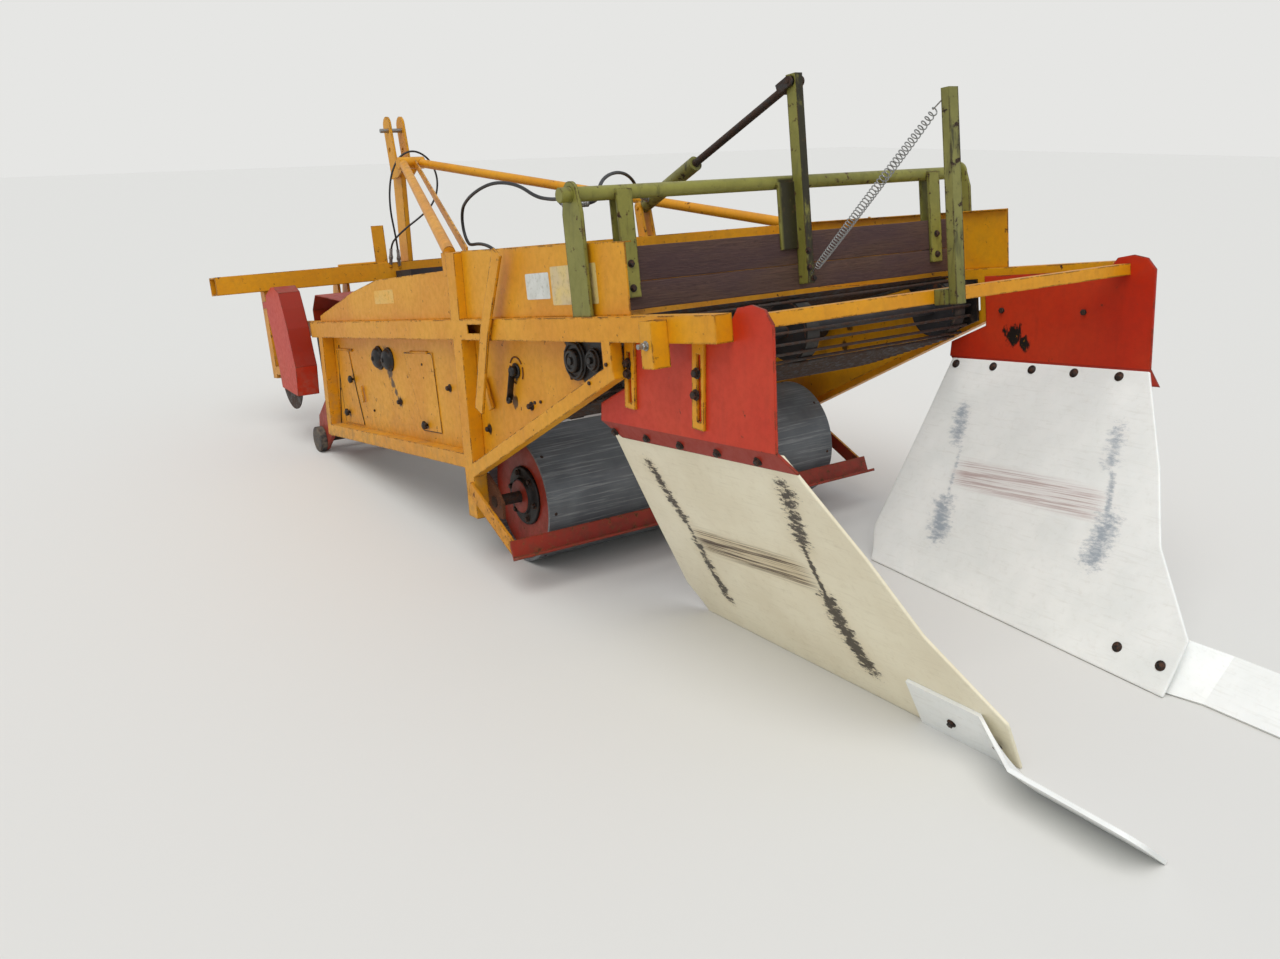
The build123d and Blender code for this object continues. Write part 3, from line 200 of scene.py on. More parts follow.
def sprayedEnamel(name, look):
    # sprayed machine enamel on steel: a soft satin skin, faded in broad clouds, chipped to primer and rust
    # along its edges, with rain streaks running down and field dust on what faces up
    made, tree = freshMaterial(name)
    place, soft = softened(tree, look["edge"])
    mottle = noiseAt(tree, place, 28, 8, 0.7, low=0.35, high=0.7, offset=3.1)
    coats = [(noiseAt(tree, place, 420, 3, low=0.3, high=0.7), 1.0, look["faded"]),
             (mottle, look["mottle"], look["grime"]),
             (noiseAt(tree, place, 30, 6, 0.62, (1, 1, 9), 0.52, 0.80, 5.7), look["streaks"], look["grime"])]
    if "grease" in look:
        coats.append((creptOil(tree, place, look["grease"]), look["greaseShare"], look["greaseTone"]))
    if "arms" in look:
        coats.append((scraperArms(tree, place), 1.0, look["arms"]))
    if "skirt" in look:
        coats.append((plateSkirt(tree), look["skirtShare"], look["skirt"]))
    if "scar" in look:
        # scraped down to blackened steel, with an older yellow coat left in patches
        remains = noiseAt(tree, place, 16, 8, 0.7, low=0.60, high=0.66, offset=9.4)
        bare = coated(tree, look["bareTone"], [(remains, 1.0, look["olderTone"])])
        coats.append((creptOil(tree, place, look["scar"], rightOnly=True), 1.0, bare))
    if "soot" in look:
        coats.append((leverSoot(tree, place), look["soot"], look["sootTone"]))
    # chips start where fine noise is high, and sooner along the edges
    broken = noiseAt(tree, place, 75, 9, 0.68, low=0.44, high=0.60, offset=8.8)
    atEdges = within(tree, edgeMask(tree, soft), broken)
    anywhere = noiseAt(tree, place, 34, 12, 0.68, offset=1.3)
    worn = addNode(tree, "Math", [atEdges, look["edgeWear"], anywhere], operation="MULTIPLY_ADD")
    start = look["chipsFrom"]
    chips = addNode(tree, "MapRange", [worn, start, start + look["chipRim"]])
    halo = addNode(tree, "MapRange", [worn, start - look["haloWidth"], start])
    rustTone = noiseAt(tree, place, 9, 8, 0.7, low=0.3, high=0.7, offset=2.2)
    rust = coated(tree, look["rustDark"], [(rustTone, 1.0, look["rustLight"])])
    soil = fieldSoil(tree, place, look)
    coats += [(halo, look["haloShare"], look["halo"]), (chips, 1.0, rust), (soil, 1.0, look["soilTone"])]
    gloss = addNode(tree, "Math", [mottle, 0.12, look["roughness"]], operation="MULTIPLY_ADD")
    gloss = addNode(tree, "Math", [chips, 0.4, gloss], operation="MULTIPLY_ADD", use_clamp=True)
    gloss = addNode(tree, "Math", [soil, 0.5, gloss], operation="MULTIPLY_ADD", use_clamp=True)
    skin = within(tree, noiseAt(tree, place, 3, 2, offset=7.7), 0.06)
    sunk = addNode(tree, "Math", [chips, -0.35, skin], operation="MULTIPLY_ADD")
    relief = addNode(tree, "Math", [within(tree, chips, rustTone), 0.3, sunk], operation="MULTIPLY_ADD")
    bump = addNode(tree, "Bump", {"Height": relief, "Normal": soft, "Strength": 0.6, "Distance": 0.0012})
    return finished(made, tree, {"Base Color": coated(tree, look["fresh"], coats), "Roughness": gloss,
                                 "IOR": 1.5, "Specular IOR Level": 0.36, "Normal": bump})


def wallSpots(spots):
    # s, h and radius on a side wall, as y, z and radius
    return [(*fromBody((0, s, h))[1:], radius) for s, h, radius in spots]


# oil that has crept from bearings, pins and bolts
greaseSpots = wallSpots((
    (2.666, -0.240, 0.060), (2.646, -0.300, 0.046), (2.620, -0.345, 0.036), (2.584, -0.386, 0.050),
    (2.700, -0.180, 0.085), (1.380, -0.320, 0.045), (1.345, -0.215, 0.050), (1.630, -0.445, 0.035),
    (1.640, -0.222, 0.035), (0.900, -0.130, 0.070), (3.330, -0.485, 0.035), (2.280, -0.480, 0.032),
    (1.978, -0.300, 0.028)))
guideScar = wallSpots(((0.431, -0.264, 0.075), (0.381, -0.294, 0.050)))

enamelCommon = {
    "edge": 0.009, "edgeWear": 0.50, "chipsFrom": 0.725, "chipRim": 0.02, "haloWidth": 0.05,
    "haloShare": 0.45, "streaks": 0.16, "mottle": 0.16, "dust": 0.40, "soil": 0.75, "roughness": 0.38,
    "grime": "#6B4A22", "rustDark": "#3B2014", "rustLight": "#7A4526", "halo": "#8A5A24",
    "soilTone": "#7E7262",
}
goldenEnamel = sprayedEnamel("goldenYellowEnamel", {
    **enamelCommon, "fresh": "#D58D05", "faded": "#DE9C12", "grease": greaseSpots, "edgeWear": 0.60,
    "greaseShare": 0.88, "greaseTone": "#2A1D10", "halo": "#7A4C18", "rustDark": "#24160E",
    "rustLight": "#5A3420"})
redEnamel = sprayedEnamel("orangeRedEnamel", {
    **enamelCommon, "fresh": "#BC2709", "faded": "#C63917", "chipsFrom": 0.77, "grime": "#6A2414",
    "halo": "#7C2E18", "skirt": "#7E1F0E", "skirtShare": 0.7, "scar": guideScar, "bareTone": "#17110D",
    "olderTone": "#C98A12"})
darkRedEnamel = sprayedEnamel("fadedDarkRedEnamel", {
    **enamelCommon, "fresh": "#94220F", "faded": "#A63216", "chipsFrom": 0.70, "grime": "#3A2018",
    "soil": 0.55, "soilTone": "#5C4638"})
scraperEnamel = sprayedEnamel("scraperEnamel", {
    **enamelCommon, "fresh": "#8A200E", "faded": "#9C2E15", "chipsFrom": 0.66, "grime": "#33201A",
    "soil": 0.60, "soilTone": "#54402F", "arms": "#D08A08"})
oliveEnamel = sprayedEnamel("oliveEnamel", {
    **enamelCommon, "fresh": "#747230", "faded": "#8E8B40", "chipsFrom": 0.68, "grime": "#37311A",
    "streaks": 0.8, "halo": "#5A4C24", "soot": 0.92, "sootTone": "#1C1712", "rustDark": "#231A10",
    "rustLight": "#5A3C24"})
wornOlive = sprayedEnamel("wornOliveEnamel", {
    **enamelCommon, "fresh": "#6F6D34", "faded": "#868346", "chipsFrom": 0.64, "grime": "#1F1B12",
    "streaks": 1.3, "halo": "#3E3520", "rustDark": "#1B150F", "rustLight": "#4A3624"})
blackEnamel = sprayedEnamel("blackEnamel", {
    **enamelCommon, "fresh": "#1E1F21", "faded": "#37363A", "chipsFrom": 0.70, "grime": "#3A332A",
    "halo": "#4A3526", "roughness": 0.5, "soil": 0.9})


def bareSteel(name, look):
    # mild steel with no paint, rolled or turned: dull metal under brown bloom and rubbed-in soil
    made, tree = freshMaterial(name)
    place, soft = softened(tree, 0.002)
    bloom = noiseAt(tree, place, look["bloom"], 10, 0.7, low=look["from"], high=look["from"] + 0.18)
    grain = noiseAt(tree, place, 5, 8, 0.7, low=0.3, high=0.75, offset=2.4)
    metal = coated(tree, look["metal"], [(grain, 1.0, look["metalDark"])])
    rust = coated(tree, look["rust"], [(grain, 1.0, look["rustDark"])])
    gloss = addNode(tree, "Math", [bloom, 0.4, look["roughness"]], operation="MULTIPLY_ADD", use_clamp=True)
    relief = addNode(tree, "Math", [bloom, grain, grain], operation="MULTIPLY_ADD")
    bump = addNode(tree, "Bump", {"Height": relief, "Normal": soft, "Strength": 0.35, "Distance": 0.0008})
    shown = addNode(tree, "MapRange", [bloom, 0.0, 1.0, look["metallic"], 0.0])
    return finished(made, tree, {"Base Color": coated(tree, metal, [(bloom, 1.0, rust)]), "Roughness": gloss,
                                 "Metallic": shown, "Normal": bump})


brightSteel = bareSteel("turnedSteel", {
    "bloom": 22, "from": 0.56, "metal": "#B9B6B0", "metalDark": "#8B8782", "rust": "#6E4428",
    "rustDark": "#46291A", "roughness": 0.3, "metallic": 1.0})
rodSteel = bareSteel("rolledRodSteel", {
    "bloom": 30, "from": 0.38, "metal": "#4A4644", "metalDark": "#2B2927", "rust": "#4A3020",
    "rustDark": "#241A14", "roughness": 0.45, "metallic": 0.6})
rustySteel = bareSteel("rustySteel", {
    "bloom": 40, "from": 0.25, "metal": "#5B5350", "metalDark": "#3A3533", "rust": "#7A4A2C",
    "rustDark": "#3B2317", "roughness": 0.5, "metallic": 0.4})
zincSteel = bareSteel("zincPlatedSteel", {
    "bloom": 26, "from": 0.60, "metal": "#A9A9A6", "metalDark": "#7F807E", "rust": "#75502F",
    "rustDark": "#4B3322", "roughness": 0.38, "metallic": 0.9})
darkNuts = bareSteel("blackenedBoltSteel", {
    "bloom": 12, "from": 0.42, "metal": "#2C2A29", "metalDark": "#191818", "rust": "#5A3823",
    "rustDark": "#2C1C14", "roughness": 0.46, "metallic": 0.5})
greasyIron = bareSteel("greasyCastIron", {
    "bloom": 34, "from": 0.50, "metal": "#232120", "metalDark": "#141313", "rust": "#4A3322",
    "rustDark": "#211812", "roughness": 0.40, "metallic": 0.3})


def mouldedPolymer(name, look):
    # moulded or pressed rubber and plastic: even colour in the mass, matt, paler with scuffs and dust
    made, tree = freshMaterial(name)
    place, soft = softened(tree, 0.002)
    scuffs = noiseAt(tree, place, look["scuff"], 9, 0.68, look.get("stretch", (1, 1, 1)), 0.48, 0.74)
    clouds = noiseAt(tree, place, 180, 4, low=0.3, high=0.7, offset=4.1)
    coats = [(clouds, 1.0, look["second"]), (scuffs, look["dirt"], look["dirtTone"])]
    colour = coated(tree, look["base"], coats)
    gloss = addNode(tree, "MapRange", [scuffs, 0.0, 1.0, look["roughness"], look["roughness"] + 0.25])
    fine = noiseAt(tree, place, 4, 6, 0.6, offset=9.2)
    bump = addNode(tree, "Bump", {"Height": fine, "Normal": soft, "Strength": 0.25, "Distance": 0.0008})
    return finished(made, tree, {"Base Color": colour, "Roughness": gloss, "IOR": 1.5, "Normal": bump})


beltRubber = mouldedPolymer("vulcanisedRubber", {
    "scuff": 40, "base": "#232323", "second": "#34322F", "dirt": 0.7, "dirtTone": "#6A5F50",
    "roughness": 0.68})
hoseRubber = mouldedPolymer("braidedHoseCover", {
    "scuff": 25, "base": "#141415", "second": "#232324", "dirt": 0.45, "dirtTone": "#5D564B",
    "roughness": 0.5})
rollerPvc = mouldedPolymer("greyPipePvc", {
    "scuff": 9, "stretch": (34, 1, 1), "base": "#4E5256", "second": "#64686B", "dirt": 0.75,
    "dirtTone": "#A3A5A4", "roughness": 0.34})


def sawnTimber(name, look):
    # sawn softwood, weathered and oiled dark: long grain along x, checks and pale rubbed arrises
    made, tree = freshMaterial(name)
    place, soft = softened(tree, 0.003)
    stretched = addNode(tree, "Mapping", {"Vector": place, "Scale": (0.06, 1, 1)})
    warp = addNode(tree, "TexNoise", {"Vector": stretched, "Scale": perMm(90), "Detail": 3.0}, "Color")
    bent = addNode(tree, "VectorMath", [stretched, warp], operation="ADD")
    grain = addNode(tree, "TexNoise", {"Vector": bent, "Scale": perMm(14), "Detail": 10.0, "Roughness": 0.7})
    lines = addNode(tree, "MapRange", [grain, 0.35, 0.68])
    fine = noiseAt(tree, place, 3, 6, 0.7, (40, 1, 1), 0.3, 0.7)
    blotch = noiseAt(tree, place, 130, 5, stretch=(3, 1, 1), low=0.35, high=0.7, offset=3.3)
    colour = coated(tree, look["dark"], [
        (lines, 1.0, look["mid"]), (fine, 0.35, look["pale"]), (blotch, 0.5, look["stain"]),
        (edgeMask(tree, soft), 0.5, look["pale"])])
    relief = addNode(tree, "Math", [lines, fine], operation="ADD")
    bump = addNode(tree, "Bump", {"Height": relief, "Normal": soft, "Strength": 0.5, "Distance": 0.0015})
    gloss = addNode(tree, "MapRange", [lines, 0.0, 1.0, 0.82, 0.62])
    return finished(made, tree, {"Base Color": colour, "Roughness": gloss, "IOR": 1.5, "Normal": bump})


oldTimber = sawnTimber("weatheredSoftwood", {
    "dark": "#2B1A12", "mid": "#54372A", "pale": "#7A5E4C", "stain": "#3A2430"})


def rubbedSheet(name, look):
    # pressed polyethylene sheet: waxy and slightly see-through white, cloudy with soil film, scratched along
    # the travel, and scrubbed dark where crop and stones rub it (the mesh's attributes "rub" and "scrub";
    # "sheet" holds the distance along the travel and down the sheet)
    made, tree = freshMaterial(name)
    place = addNode(tree, "TexCoord", out="Object")
    sheet = addNode(tree, "Attribute", out="Vector", attribute_name="sheet")
    rub, scrub = (addNode(tree, "Attribute", out="Fac", attribute_name=word) for word in ("rub", "scrub"))
    film = noiseAt(tree, place, 260, 6, 0.6, low=0.3, high=0.72)
    spots = noiseAt(tree, place, 26, 10, 0.7, low=0.5, high=0.78, offset=4.2)
    scratch = noiseAt(tree, place, 6, 8, 0.65, (1, 30, 2), 0.52, 0.72, 1.7)
    torn = noiseAt(tree, sheet, 15, 12, 0.76, (2.4, 1, 1), offset=6.1)
    lanes = noiseAt(tree, sheet, 6, 7, 0.60, (55, 1, 1), 0.44, 0.62, 2.9)
    stripes = within(tree, lanes, scrub)
    # a pale cast round the marks and over the scrubbed field, and torn dark cores in the marks
    cast, over = within(tree, rub, look["cast"]), within(tree, scrub, look["scrubCast"])
    haze = addNode(tree, "Math", [cast, over], operation="MAXIMUM")
    deep = addNode(tree, "Math", [rub, look["reach"], torn], operation="MULTIPLY_ADD")
    core = addNode(tree, "MapRange", [deep, look["from"], look["from"] + look["blur"]])
    dark = within(tree, core, addNode(tree, "MapRange", [rub, 0.05, 0.25]))
    colour = coated(tree, look["clean"], [
        (film, 1.0, look["film"]), (spots, look["spots"], look["spot"]),
        (scratch, look["scratches"], look["spot"]), (haze, 1.0, look["haze"]),
        (stripes, look["lanes"], look["laneTone"]),
        (dark, look["strength"], look["mark"])])
    gloss = addNode(tree, "MapRange", [spots, 0.0, 1.0, 0.42, 0.6])
    relief = addNode(tree, "Math", [dark, -1.5, scratch], operation="MULTIPLY_ADD")
    bump = addNode(tree, "Bump", {"Height": relief, "Strength": 0.2, "Distance": 0.0008})
    return finished(made, tree, {
        "Base Color": colour, "Roughness": gloss, "IOR": 1.5, "Subsurface Weight": 0.12,
        "Subsurface Radius": (0.01, 0.009, 0.008), "Subsurface Scale": 0.6, "Normal": bump})


sheetCommon = {"spots": 0.25, "scratches": 0.20, "scrubCast": 0.5}
# the near flap: the same polyethylene as the white sheet, its cream tone partly soil film and partly painted
# shade of its outer face, which looks down
shadedCreamSheet = rubbedSheet("shadedCreamPolyethyleneSheet", {
    **sheetCommon, "clean": "#F0E8CE", "film": "#E6DCC0", "spot": "#BCAE8E", "haze": "#BFA679",
    "mark": "#2B2016", "laneTone": "#4A3520", "lanes": 1.1, "reach": 0.46, "from": 0.72, "strength": 0.95,
    "blur": 0.10, "cast": 0.42})
whiteSheet = rubbedSheet("whitePolyethyleneSheet", {
    **sheetCommon, "clean": "#F4F5F2", "film": "#E9EBE8", "spot": "#C9C7BE", "haze": "#DCD3D0",
    "mark": "#8795A3", "laneTone": "#A4807C", "lanes": 0.75, "reach": 0.52, "from": 0.66, "strength": 0.80,
    "blur": 0.34, "cast": 0.22})


def printedFoil(name, look):
    # self-adhesive vinyl notice, bare: glossy film, chalked and dirty at its rim
    made, tree = freshMaterial(name)
    place = addNode(tree, "TexCoord", out="Object")
    dirt = noiseAt(tree, place, 18, 8, 0.66, low=0.48, high=0.74, offset=3.7)
    fade = noiseAt(tree, place, 90, 4, low=0.3, high=0.7)
    colour = coated(tree, look["fresh"], [(fade, 1.0, look["faded"]), (dirt, 0.5, look["dirt"])])
    gloss = addNode(tree, "MapRange", [dirt, 0.0, 1.0, 0.32, 0.6])
    return finished(made, tree, {"Base Color": colour, "Roughness": gloss, "IOR": 1.5})


paleFoil = printedFoil("paleVinyl", {"fresh": "#D9DAD4", "faded": "#C6C8C0", "dirt": "#8E8A78"})
creamFoil = printedFoil("creamVinyl", {"fresh": "#D8BE72", "faded": "#CBB68A", "dirt": "#7A6740"})
amberFoil = printedFoil("amberVinyl", {"fresh": "#E3A81C", "faded": "#DDB04C", "dirt": "#7A5A22"})
print("finishes ready")


# The frame's own nodes: each finish with the starts of the names that it goes on

paintedWith = (
    (goldenEnamel, ("side_", "upper_panel", "door_", "cross_tube", "rear_beam", "front_beam", "mast",
                    "coulter_legs", "shaker_levers", "slotted_brackets", "socket_tubes")),
    (redEnamel, ("guide_plate", "disc_guards")),
    (darkRedEnamel, ("roller_discs", "share_carriers", "front_cover")),
    (scraperEnamel, ("scraper",)),
    (oliveEnamel, ("swing_posts", "swing_frame")),
    (wornOlive, ("tall_post", "ram_barrel")),
    (blackEnamel, ("gearbox", "drive_drum", "drum_bearers", "bearing_covers", "web_rollers", "share_hubs")),
    (rodSteel, ("ram_rod", "web_rods", "share_shaft", "roller_shaft", "return_spring", "coulter_disc")),
    (brightSteel, ("pto_stub",)),
    (zincSteel, ("hitch_pins",)),
    (rustySteel, ("roller_bearers",)),
    (beltRubber, ("web_belts", "aprons")),
    (hoseRubber, ("hose_",)),
    (rollerPvc, ("roller_mantle",)),
    (whiteSheet, ("drag_strips", "flap_right")),
    (shadedCreamSheet, ("flap_left",)),
    (oldTimber, ("swing_board",)),
)
for name, node in nodes.items():
    node.data.materials.clear()
    node.data.materials.append(next(finish for finish, starts in paintedWith if name.startswith(starts)))
print("frame painted:", len(nodes))


# View and light: the camera stands where the photograph was taken from; turn, down and roll are in degrees,
# and the lens comes from a focal length of 1105.6 pixels on a picture 1280 wide

shot = {"sensor": 36, "lens": 36 * 1105.6126 / 1280, "turn": 33.73585, "down": 18.30932, "roll": -0.74733,
        "at": (-2.7554, -2.3683 - 1.697290, 1.78477)}


def photoCamera():
    # looks along (cos d sin t, cos d cos t, -sin d) for turn t and down d, then rolls about that line
    turn, down, roll = (math.radians(shot[k]) for k in ("turn", "down", "roll"))
    ahead = Vector((math.cos(down) * math.sin(turn), math.cos(down) * math.cos(turn), -math.sin(down)))
    right = Vector((math.cos(turn), -math.sin(turn), 0))
    up = right.cross(ahead)
    across = right * math.cos(roll) + up * math.sin(roll)
    above = up * math.cos(roll) - right * math.sin(roll)
    data = bpy.data.cameras.new("photoCamera")
    data.lens, data.sensor_width = shot["lens"], shot["sensor"]
    made = bpy.data.objects.new("photoCamera", data)
    bpy.context.scene.collection.objects.link(made)
    matrix = Matrix((across, above, -ahead)).transposed().to_4x4()
    matrix.translation = Vector(shot["at"])
    made.matrix_world = matrix
    data.clip_end = 100
    bpy.context.scene.camera = made


studio = {"world": 0.66, "ambient": (0.93, 0.96, 1.0, 1), "sky": 1.7, "spread": 50,
          "skyColour": (1.0, 0.985, 0.96), "skyTowards": (0.35, 0.30, -0.88), "floor": "#D9D8D4",
          "backdrop": "#E6E6E4", "half": 40.0}


def studioLight():
    # even overcast light and one broad soft lamp; only the camera and clear things see the pale backdrop
    world = bpy.data.worlds.new("overcast")
    world.use_nodes = True
    bpy.context.scene.world = world
    tree = world.node_tree
    tree.nodes.clear()
    seen = addNode(tree, "Math", [addNode(tree, "LightPath", out="Is Camera Ray"),
                                  addNode(tree, "LightPath", out="Is Transmission Ray")], operation="MAXIMUM")
    ambient = addNode(tree, "Background", [studio["ambient"], studio["world"]])
    backdrop = addNode(tree, "Background", [studio["backdrop"], 1.0])
    addNode(tree, "OutputWorld", {"Surface": addNode(tree, "MixShader", [seen, ambient, backdrop])})
    sun = bpy.data.lights.new("softSky", "SUN")
    sun.energy, sun.angle, sun.color = studio["sky"], math.radians(studio["spread"]), studio["skyColour"]
    lamp = bpy.data.objects.new("softSky", sun)
    bpy.context.scene.collection.objects.link(lamp)
    lamp.rotation_euler = Vector(studio["skyTowards"]).to_track_quat("-Z", "Y").to_euler()


def studioFloor():
    made, tree = freshMaterial("paleFloor")
    finished(made, tree, {"Base Color": studio["floor"], "Roughness": 0.85})
    half = studio["half"]
    corners = [(-half, -half, 0), (half, -half, 0), (half, half, 0), (-half, half, 0)]
    mesh = bpy.data.meshes.new("studioFloor")
    mesh.from_pydata(corners, [], [(0, 1, 2, 3)])
    mesh.materials.append(made)
    floor = bpy.data.objects.new("studioFloor", mesh)
    bpy.context.scene.collection.objects.link(floor)


photoCamera()
studioLight()
studioFloor()
bpy.context.scene.view_settings.view_transform = "Standard"
print("view and light set")


# Forms that several pieces share: each is a list of vertices and a list of faces

bodyUp = fromBody((0, 0, 1)) - fromBody((0, 0, 0))
bodyAhead = fromBody((0, 1, 0)) - fromBody((0, 0, 0))
outLeft, outRight = np.array([-1.0, 0, 0]), np.array([1.0, 0, 0])


def joined(parts):
    # several forms as one
    vertices, faces, start = [], [], 0
    for points, polygons in parts:
        vertices.append(np.asarray(points))
        faces += [[start + k for k in polygon] for polygon in polygons]
        start += len(points)
    return np.concatenate(vertices), faces


def mirrored(form):
    # the same form on the other side: x changes sign, and the faces turn round to look outwards
    vertices, faces = form
    return np.asarray(vertices) * (-1, 1, 1), [face[::-1] for face in faces]


def bothSides(parts):
    return [*parts, *[mirrored(part) for part in parts]]


def pieceFrom(name, parts, material, body, smooth=True):
    # one mesh object at the origin, its place in its vertices; a piece without a body is left unattached
    vertices, faces = joined(parts)
    mesh = bpy.data.meshes.new(name)
    mesh.from_pydata(vertices.tolist(), [], faces)
    mesh.update()
    made = bpy.data.objects.new(name, mesh)
    bpy.context.scene.collection.objects.link(made)
    mesh.materials.append(material)
    mesh.polygons.foreach_set("use_smooth", np.full(len(mesh.polygons), smooth))
    if body:
        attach(made, body)
    return made


def gridFaces(rows, columns, closedRows=False, closedColumns=False):
    # quads of a grid whose vertex (i, j) is i * columns + j
    i = np.arange(rows if closedRows else rows - 1)
    j = np.arange(columns if closedColumns else columns - 1)
    i, j = (a.ravel() for a in np.meshgrid(i, j, indexing="ij"))
    i1, j1 = (i + 1) % rows, (j + 1) % columns
    return np.stack([i * columns + j, i * columns + j1, i1 * columns + j1, i1 * columns + j], 1)


def tubeFaces(rings, sides):
    # quads round a row of rings, and a face at each end
    last = (rings - 1) * sides
    ends = [list(range(sides))[::-1], list(range(last, last + sides))]
    return gridFaces(rings, sides, closedColumns=True).tolist() + ends


def besideOf(axis):
    # two unit vectors square to the axis, so that first x second = axis
    axis = np.asarray(axis, float) / np.linalg.norm(axis)
    helper = np.array([0.0, 0.0, 1.0]) if abs(axis[2]) < 0.9 else np.array([0.0, 1.0, 0.0])
    first = np.cross(helper, axis)
    first /= np.linalg.norm(first)
    return first, np.cross(axis, first), axis


def turned(profile, at, axis, sides=24, ring=False):
    # turned form: at + z axis + r (cos a first + sin a second), for (r, z) of the profile, which runs from
    # the foot outwards and up; it is closed by a face at both ends, or joins itself where it is a ring
    first, second, axis = besideOf(axis)
    profile = np.asarray(profile, float)
    angles = np.linspace(0, 2 * np.pi, sides, endpoint=False)
    around = np.cos(angles)[:, None] * first + np.sin(angles)[:, None] * second
    r, z = profile[:, 0], profile[:, 1]
    points = (np.asarray(at) + z[:, None, None] * axis + r[:, None, None] * around).reshape(-1, 3)
    if ring:
        return points, gridFaces(len(profile), sides, closedRows=True, closedColumns=True).tolist()
    return points, tubeFaces(len(profile), sides)


def swept(path, radius, sides=12):
    # round section carried along a path: p + r (cos a n + sin a b), the frame (n, b) turned least
    path = np.asarray(path, float)
    tangent = np.gradient(path, axis=0)
    tangent /= np.linalg.norm(tangent, axis=1)[:, None]
    normal = [besideOf(tangent[0])[0]]
    for t in tangent[1:]:
        n = normal[-1] - t * (normal[-1] @ t)
        normal.append(n / np.linalg.norm(n))
    normal = np.array(normal)
    binormal = np.cross(tangent, normal)
    angles = np.linspace(0, 2 * np.pi, sides, endpoint=False)
    ring = np.cos(angles)[None, :, None] * normal[:, None] + np.sin(angles)[None, :, None] * binormal[:, None]
    return (path[:, None] + radius * ring).reshape(-1, 3), tubeFaces(len(path), sides)


def hexBolt(at, axis, across, height, washer=True):
    # hexagon head with a chamfered crown, on a round washer where there is one
    r = across / 2 / math.cos(math.pi / 6)
    lift = height * 0.22 if washer else 0.0
    head = [(r * 0.98, lift), (r, height * 0.06 + lift), (r, height * 0.82 + lift), (r * 0.86, height + lift)]
    parts = [turned([(across * 0.78, 0), (across * 0.78, lift)], at, axis, 18)] if washer else []
    return joined([*parts, turned(head, at, axis, 6)])


def boltRow(row, outward=outRight):
    # a bolt of one size at each place s, h on a face at x
    return [hexBolt(fromBody((row["x"], s, h)), outward, row["across"], row["height"], row["washer"])
            for s, h in row["at"]]


def domeBolt(at, axis, across):
    # round head: r = cos, z = sin of a quarter turn, on a thin washer
    turn = np.linspace(0, np.pi / 2 * 0.92, 6)
    profile = [(across * 0.8, 0), (across * 0.8, 0.002)]
    profile += [(across / 2 * math.cos(t), 0.002 + across * 0.3 * math.sin(t)) for t in turn]
    return turned(profile, at, axis, 16)


def plateOf(outline, centre, across, up, thick):
    # flat plate: centre + a across + b up for (a, b) of the outline, and a second face that far outwards
    centre, across, up = (np.asarray(v, float) for v in (centre, across, up))
    outline = np.asarray(outline, float)
    face = centre + outline[:, :1] * across + outline[:, 1:] * up
    count = len(outline)
    vertices = np.concatenate([face + np.cross(across, up) * thick, face])
    walls = [[k, k + count, (k + 1) % count + count, (k + 1) % count] for k in range(count)]
    return vertices, [list(range(count)), list(range(count, 2 * count))[::-1]] + walls


def roundedBox(width, height, corner, steps=5):
    # outline of a rectangle with round corners, anticlockwise
    points = []
    for cx, cy, start in ((1, 1, 0), (-1, 1, 90), (-1, -1, 180), (1, -1, 270)):
        for t in np.radians(np.linspace(start, start + 90, steps)):
            points.append((cx * (width / 2 - corner) + corner * math.cos(t),
                           cy * (height / 2 - corner) + corner * math.sin(t)))
    return points


def flatBar(start, end, width, depth):
    # bar with rounded arrises carried straight from start to end of the body, its depth square to the walls
    start, end = fromBody(start), fromBody(end)
    run = end - start
    length = np.linalg.norm(run)
    run /= length
    side = np.cross(outRight, run)
    side /= np.linalg.norm(side)
    return plateOf(roundedBox(width, depth, 0.002, 3), start, side, np.cross(run, side), length)


# Flaps: each lies in the plane through the guide plate's kink and a ground line; a counts along the kink
# to the rear, d down the slope and level inwards from the kink's plane

flapLook = {
    "kinkFront": (0.865, 0.752, -0.350), "kinkRear": (0.865, -0.146, -0.384), "groundHalf": 0.400,
    "outerLevel": 0.008, "thick": 0.010, "wave": 0.005, "steps": (150, 120), "rim": 0.0016, "rimFrom": 50,
    "frontEdge": ((0.028, 0.014), (-0.095, 0.780), (-0.062, 0.870), (-0.0542, 0.9163)),
    "rearEdge": ((0.905, 0.014), (1.050, 0.349), (1.139, 0.614), (1.321, 0.890), (1.2948, 1.0847)),
}
flapMarks = {
    # corners a, d of each mark, its half width and its strength; then the band scrubbed between two marks
    "flap_left": {"marks": (
        (((0.148, 0.170), (0.160, 0.289), (0.178, 0.400)), 0.034, 0.80),
        (((0.178, 0.400), (0.172, 0.520)), 0.016, 0.72),
        (((0.172, 0.520), (0.160, 0.640), (0.154, 0.790)), 0.030, 0.82),
        (((0.845, 0.140), (0.815, 0.240), (0.781, 0.364)), 0.044, 0.80),
        (((0.781, 0.364), (0.767, 0.488), (0.767, 0.600)), 0.012, 1.00),
        (((0.767, 0.600), (0.774, 0.726), (0.805, 0.870)), 0.046, 0.92)),
        "band": ((0.175, 0.415), (0.740, 0.444), 0.135, 1.0)},
    "flap_right": {"marks": (
        (((0.160, 0.240), (0.180, 0.345)), 0.044, 0.80), (((0.862, 0.235), (0.868, 0.350)), 0.040, 0.66),
        (((0.220, 0.630), (0.240, 0.735)), 0.052, 0.95), (((0.930, 0.570), (0.916, 0.700)), 0.052, 0.90),
        (((0.895, 0.400), (0.925, 0.580)), 0.016, 0.85), (((0.210, 0.400), (0.225, 0.600)), 0.012, 0.55)),
        "band": ((0.215, 0.415), (0.900, 0.450), 0.135, 0.85)},
}


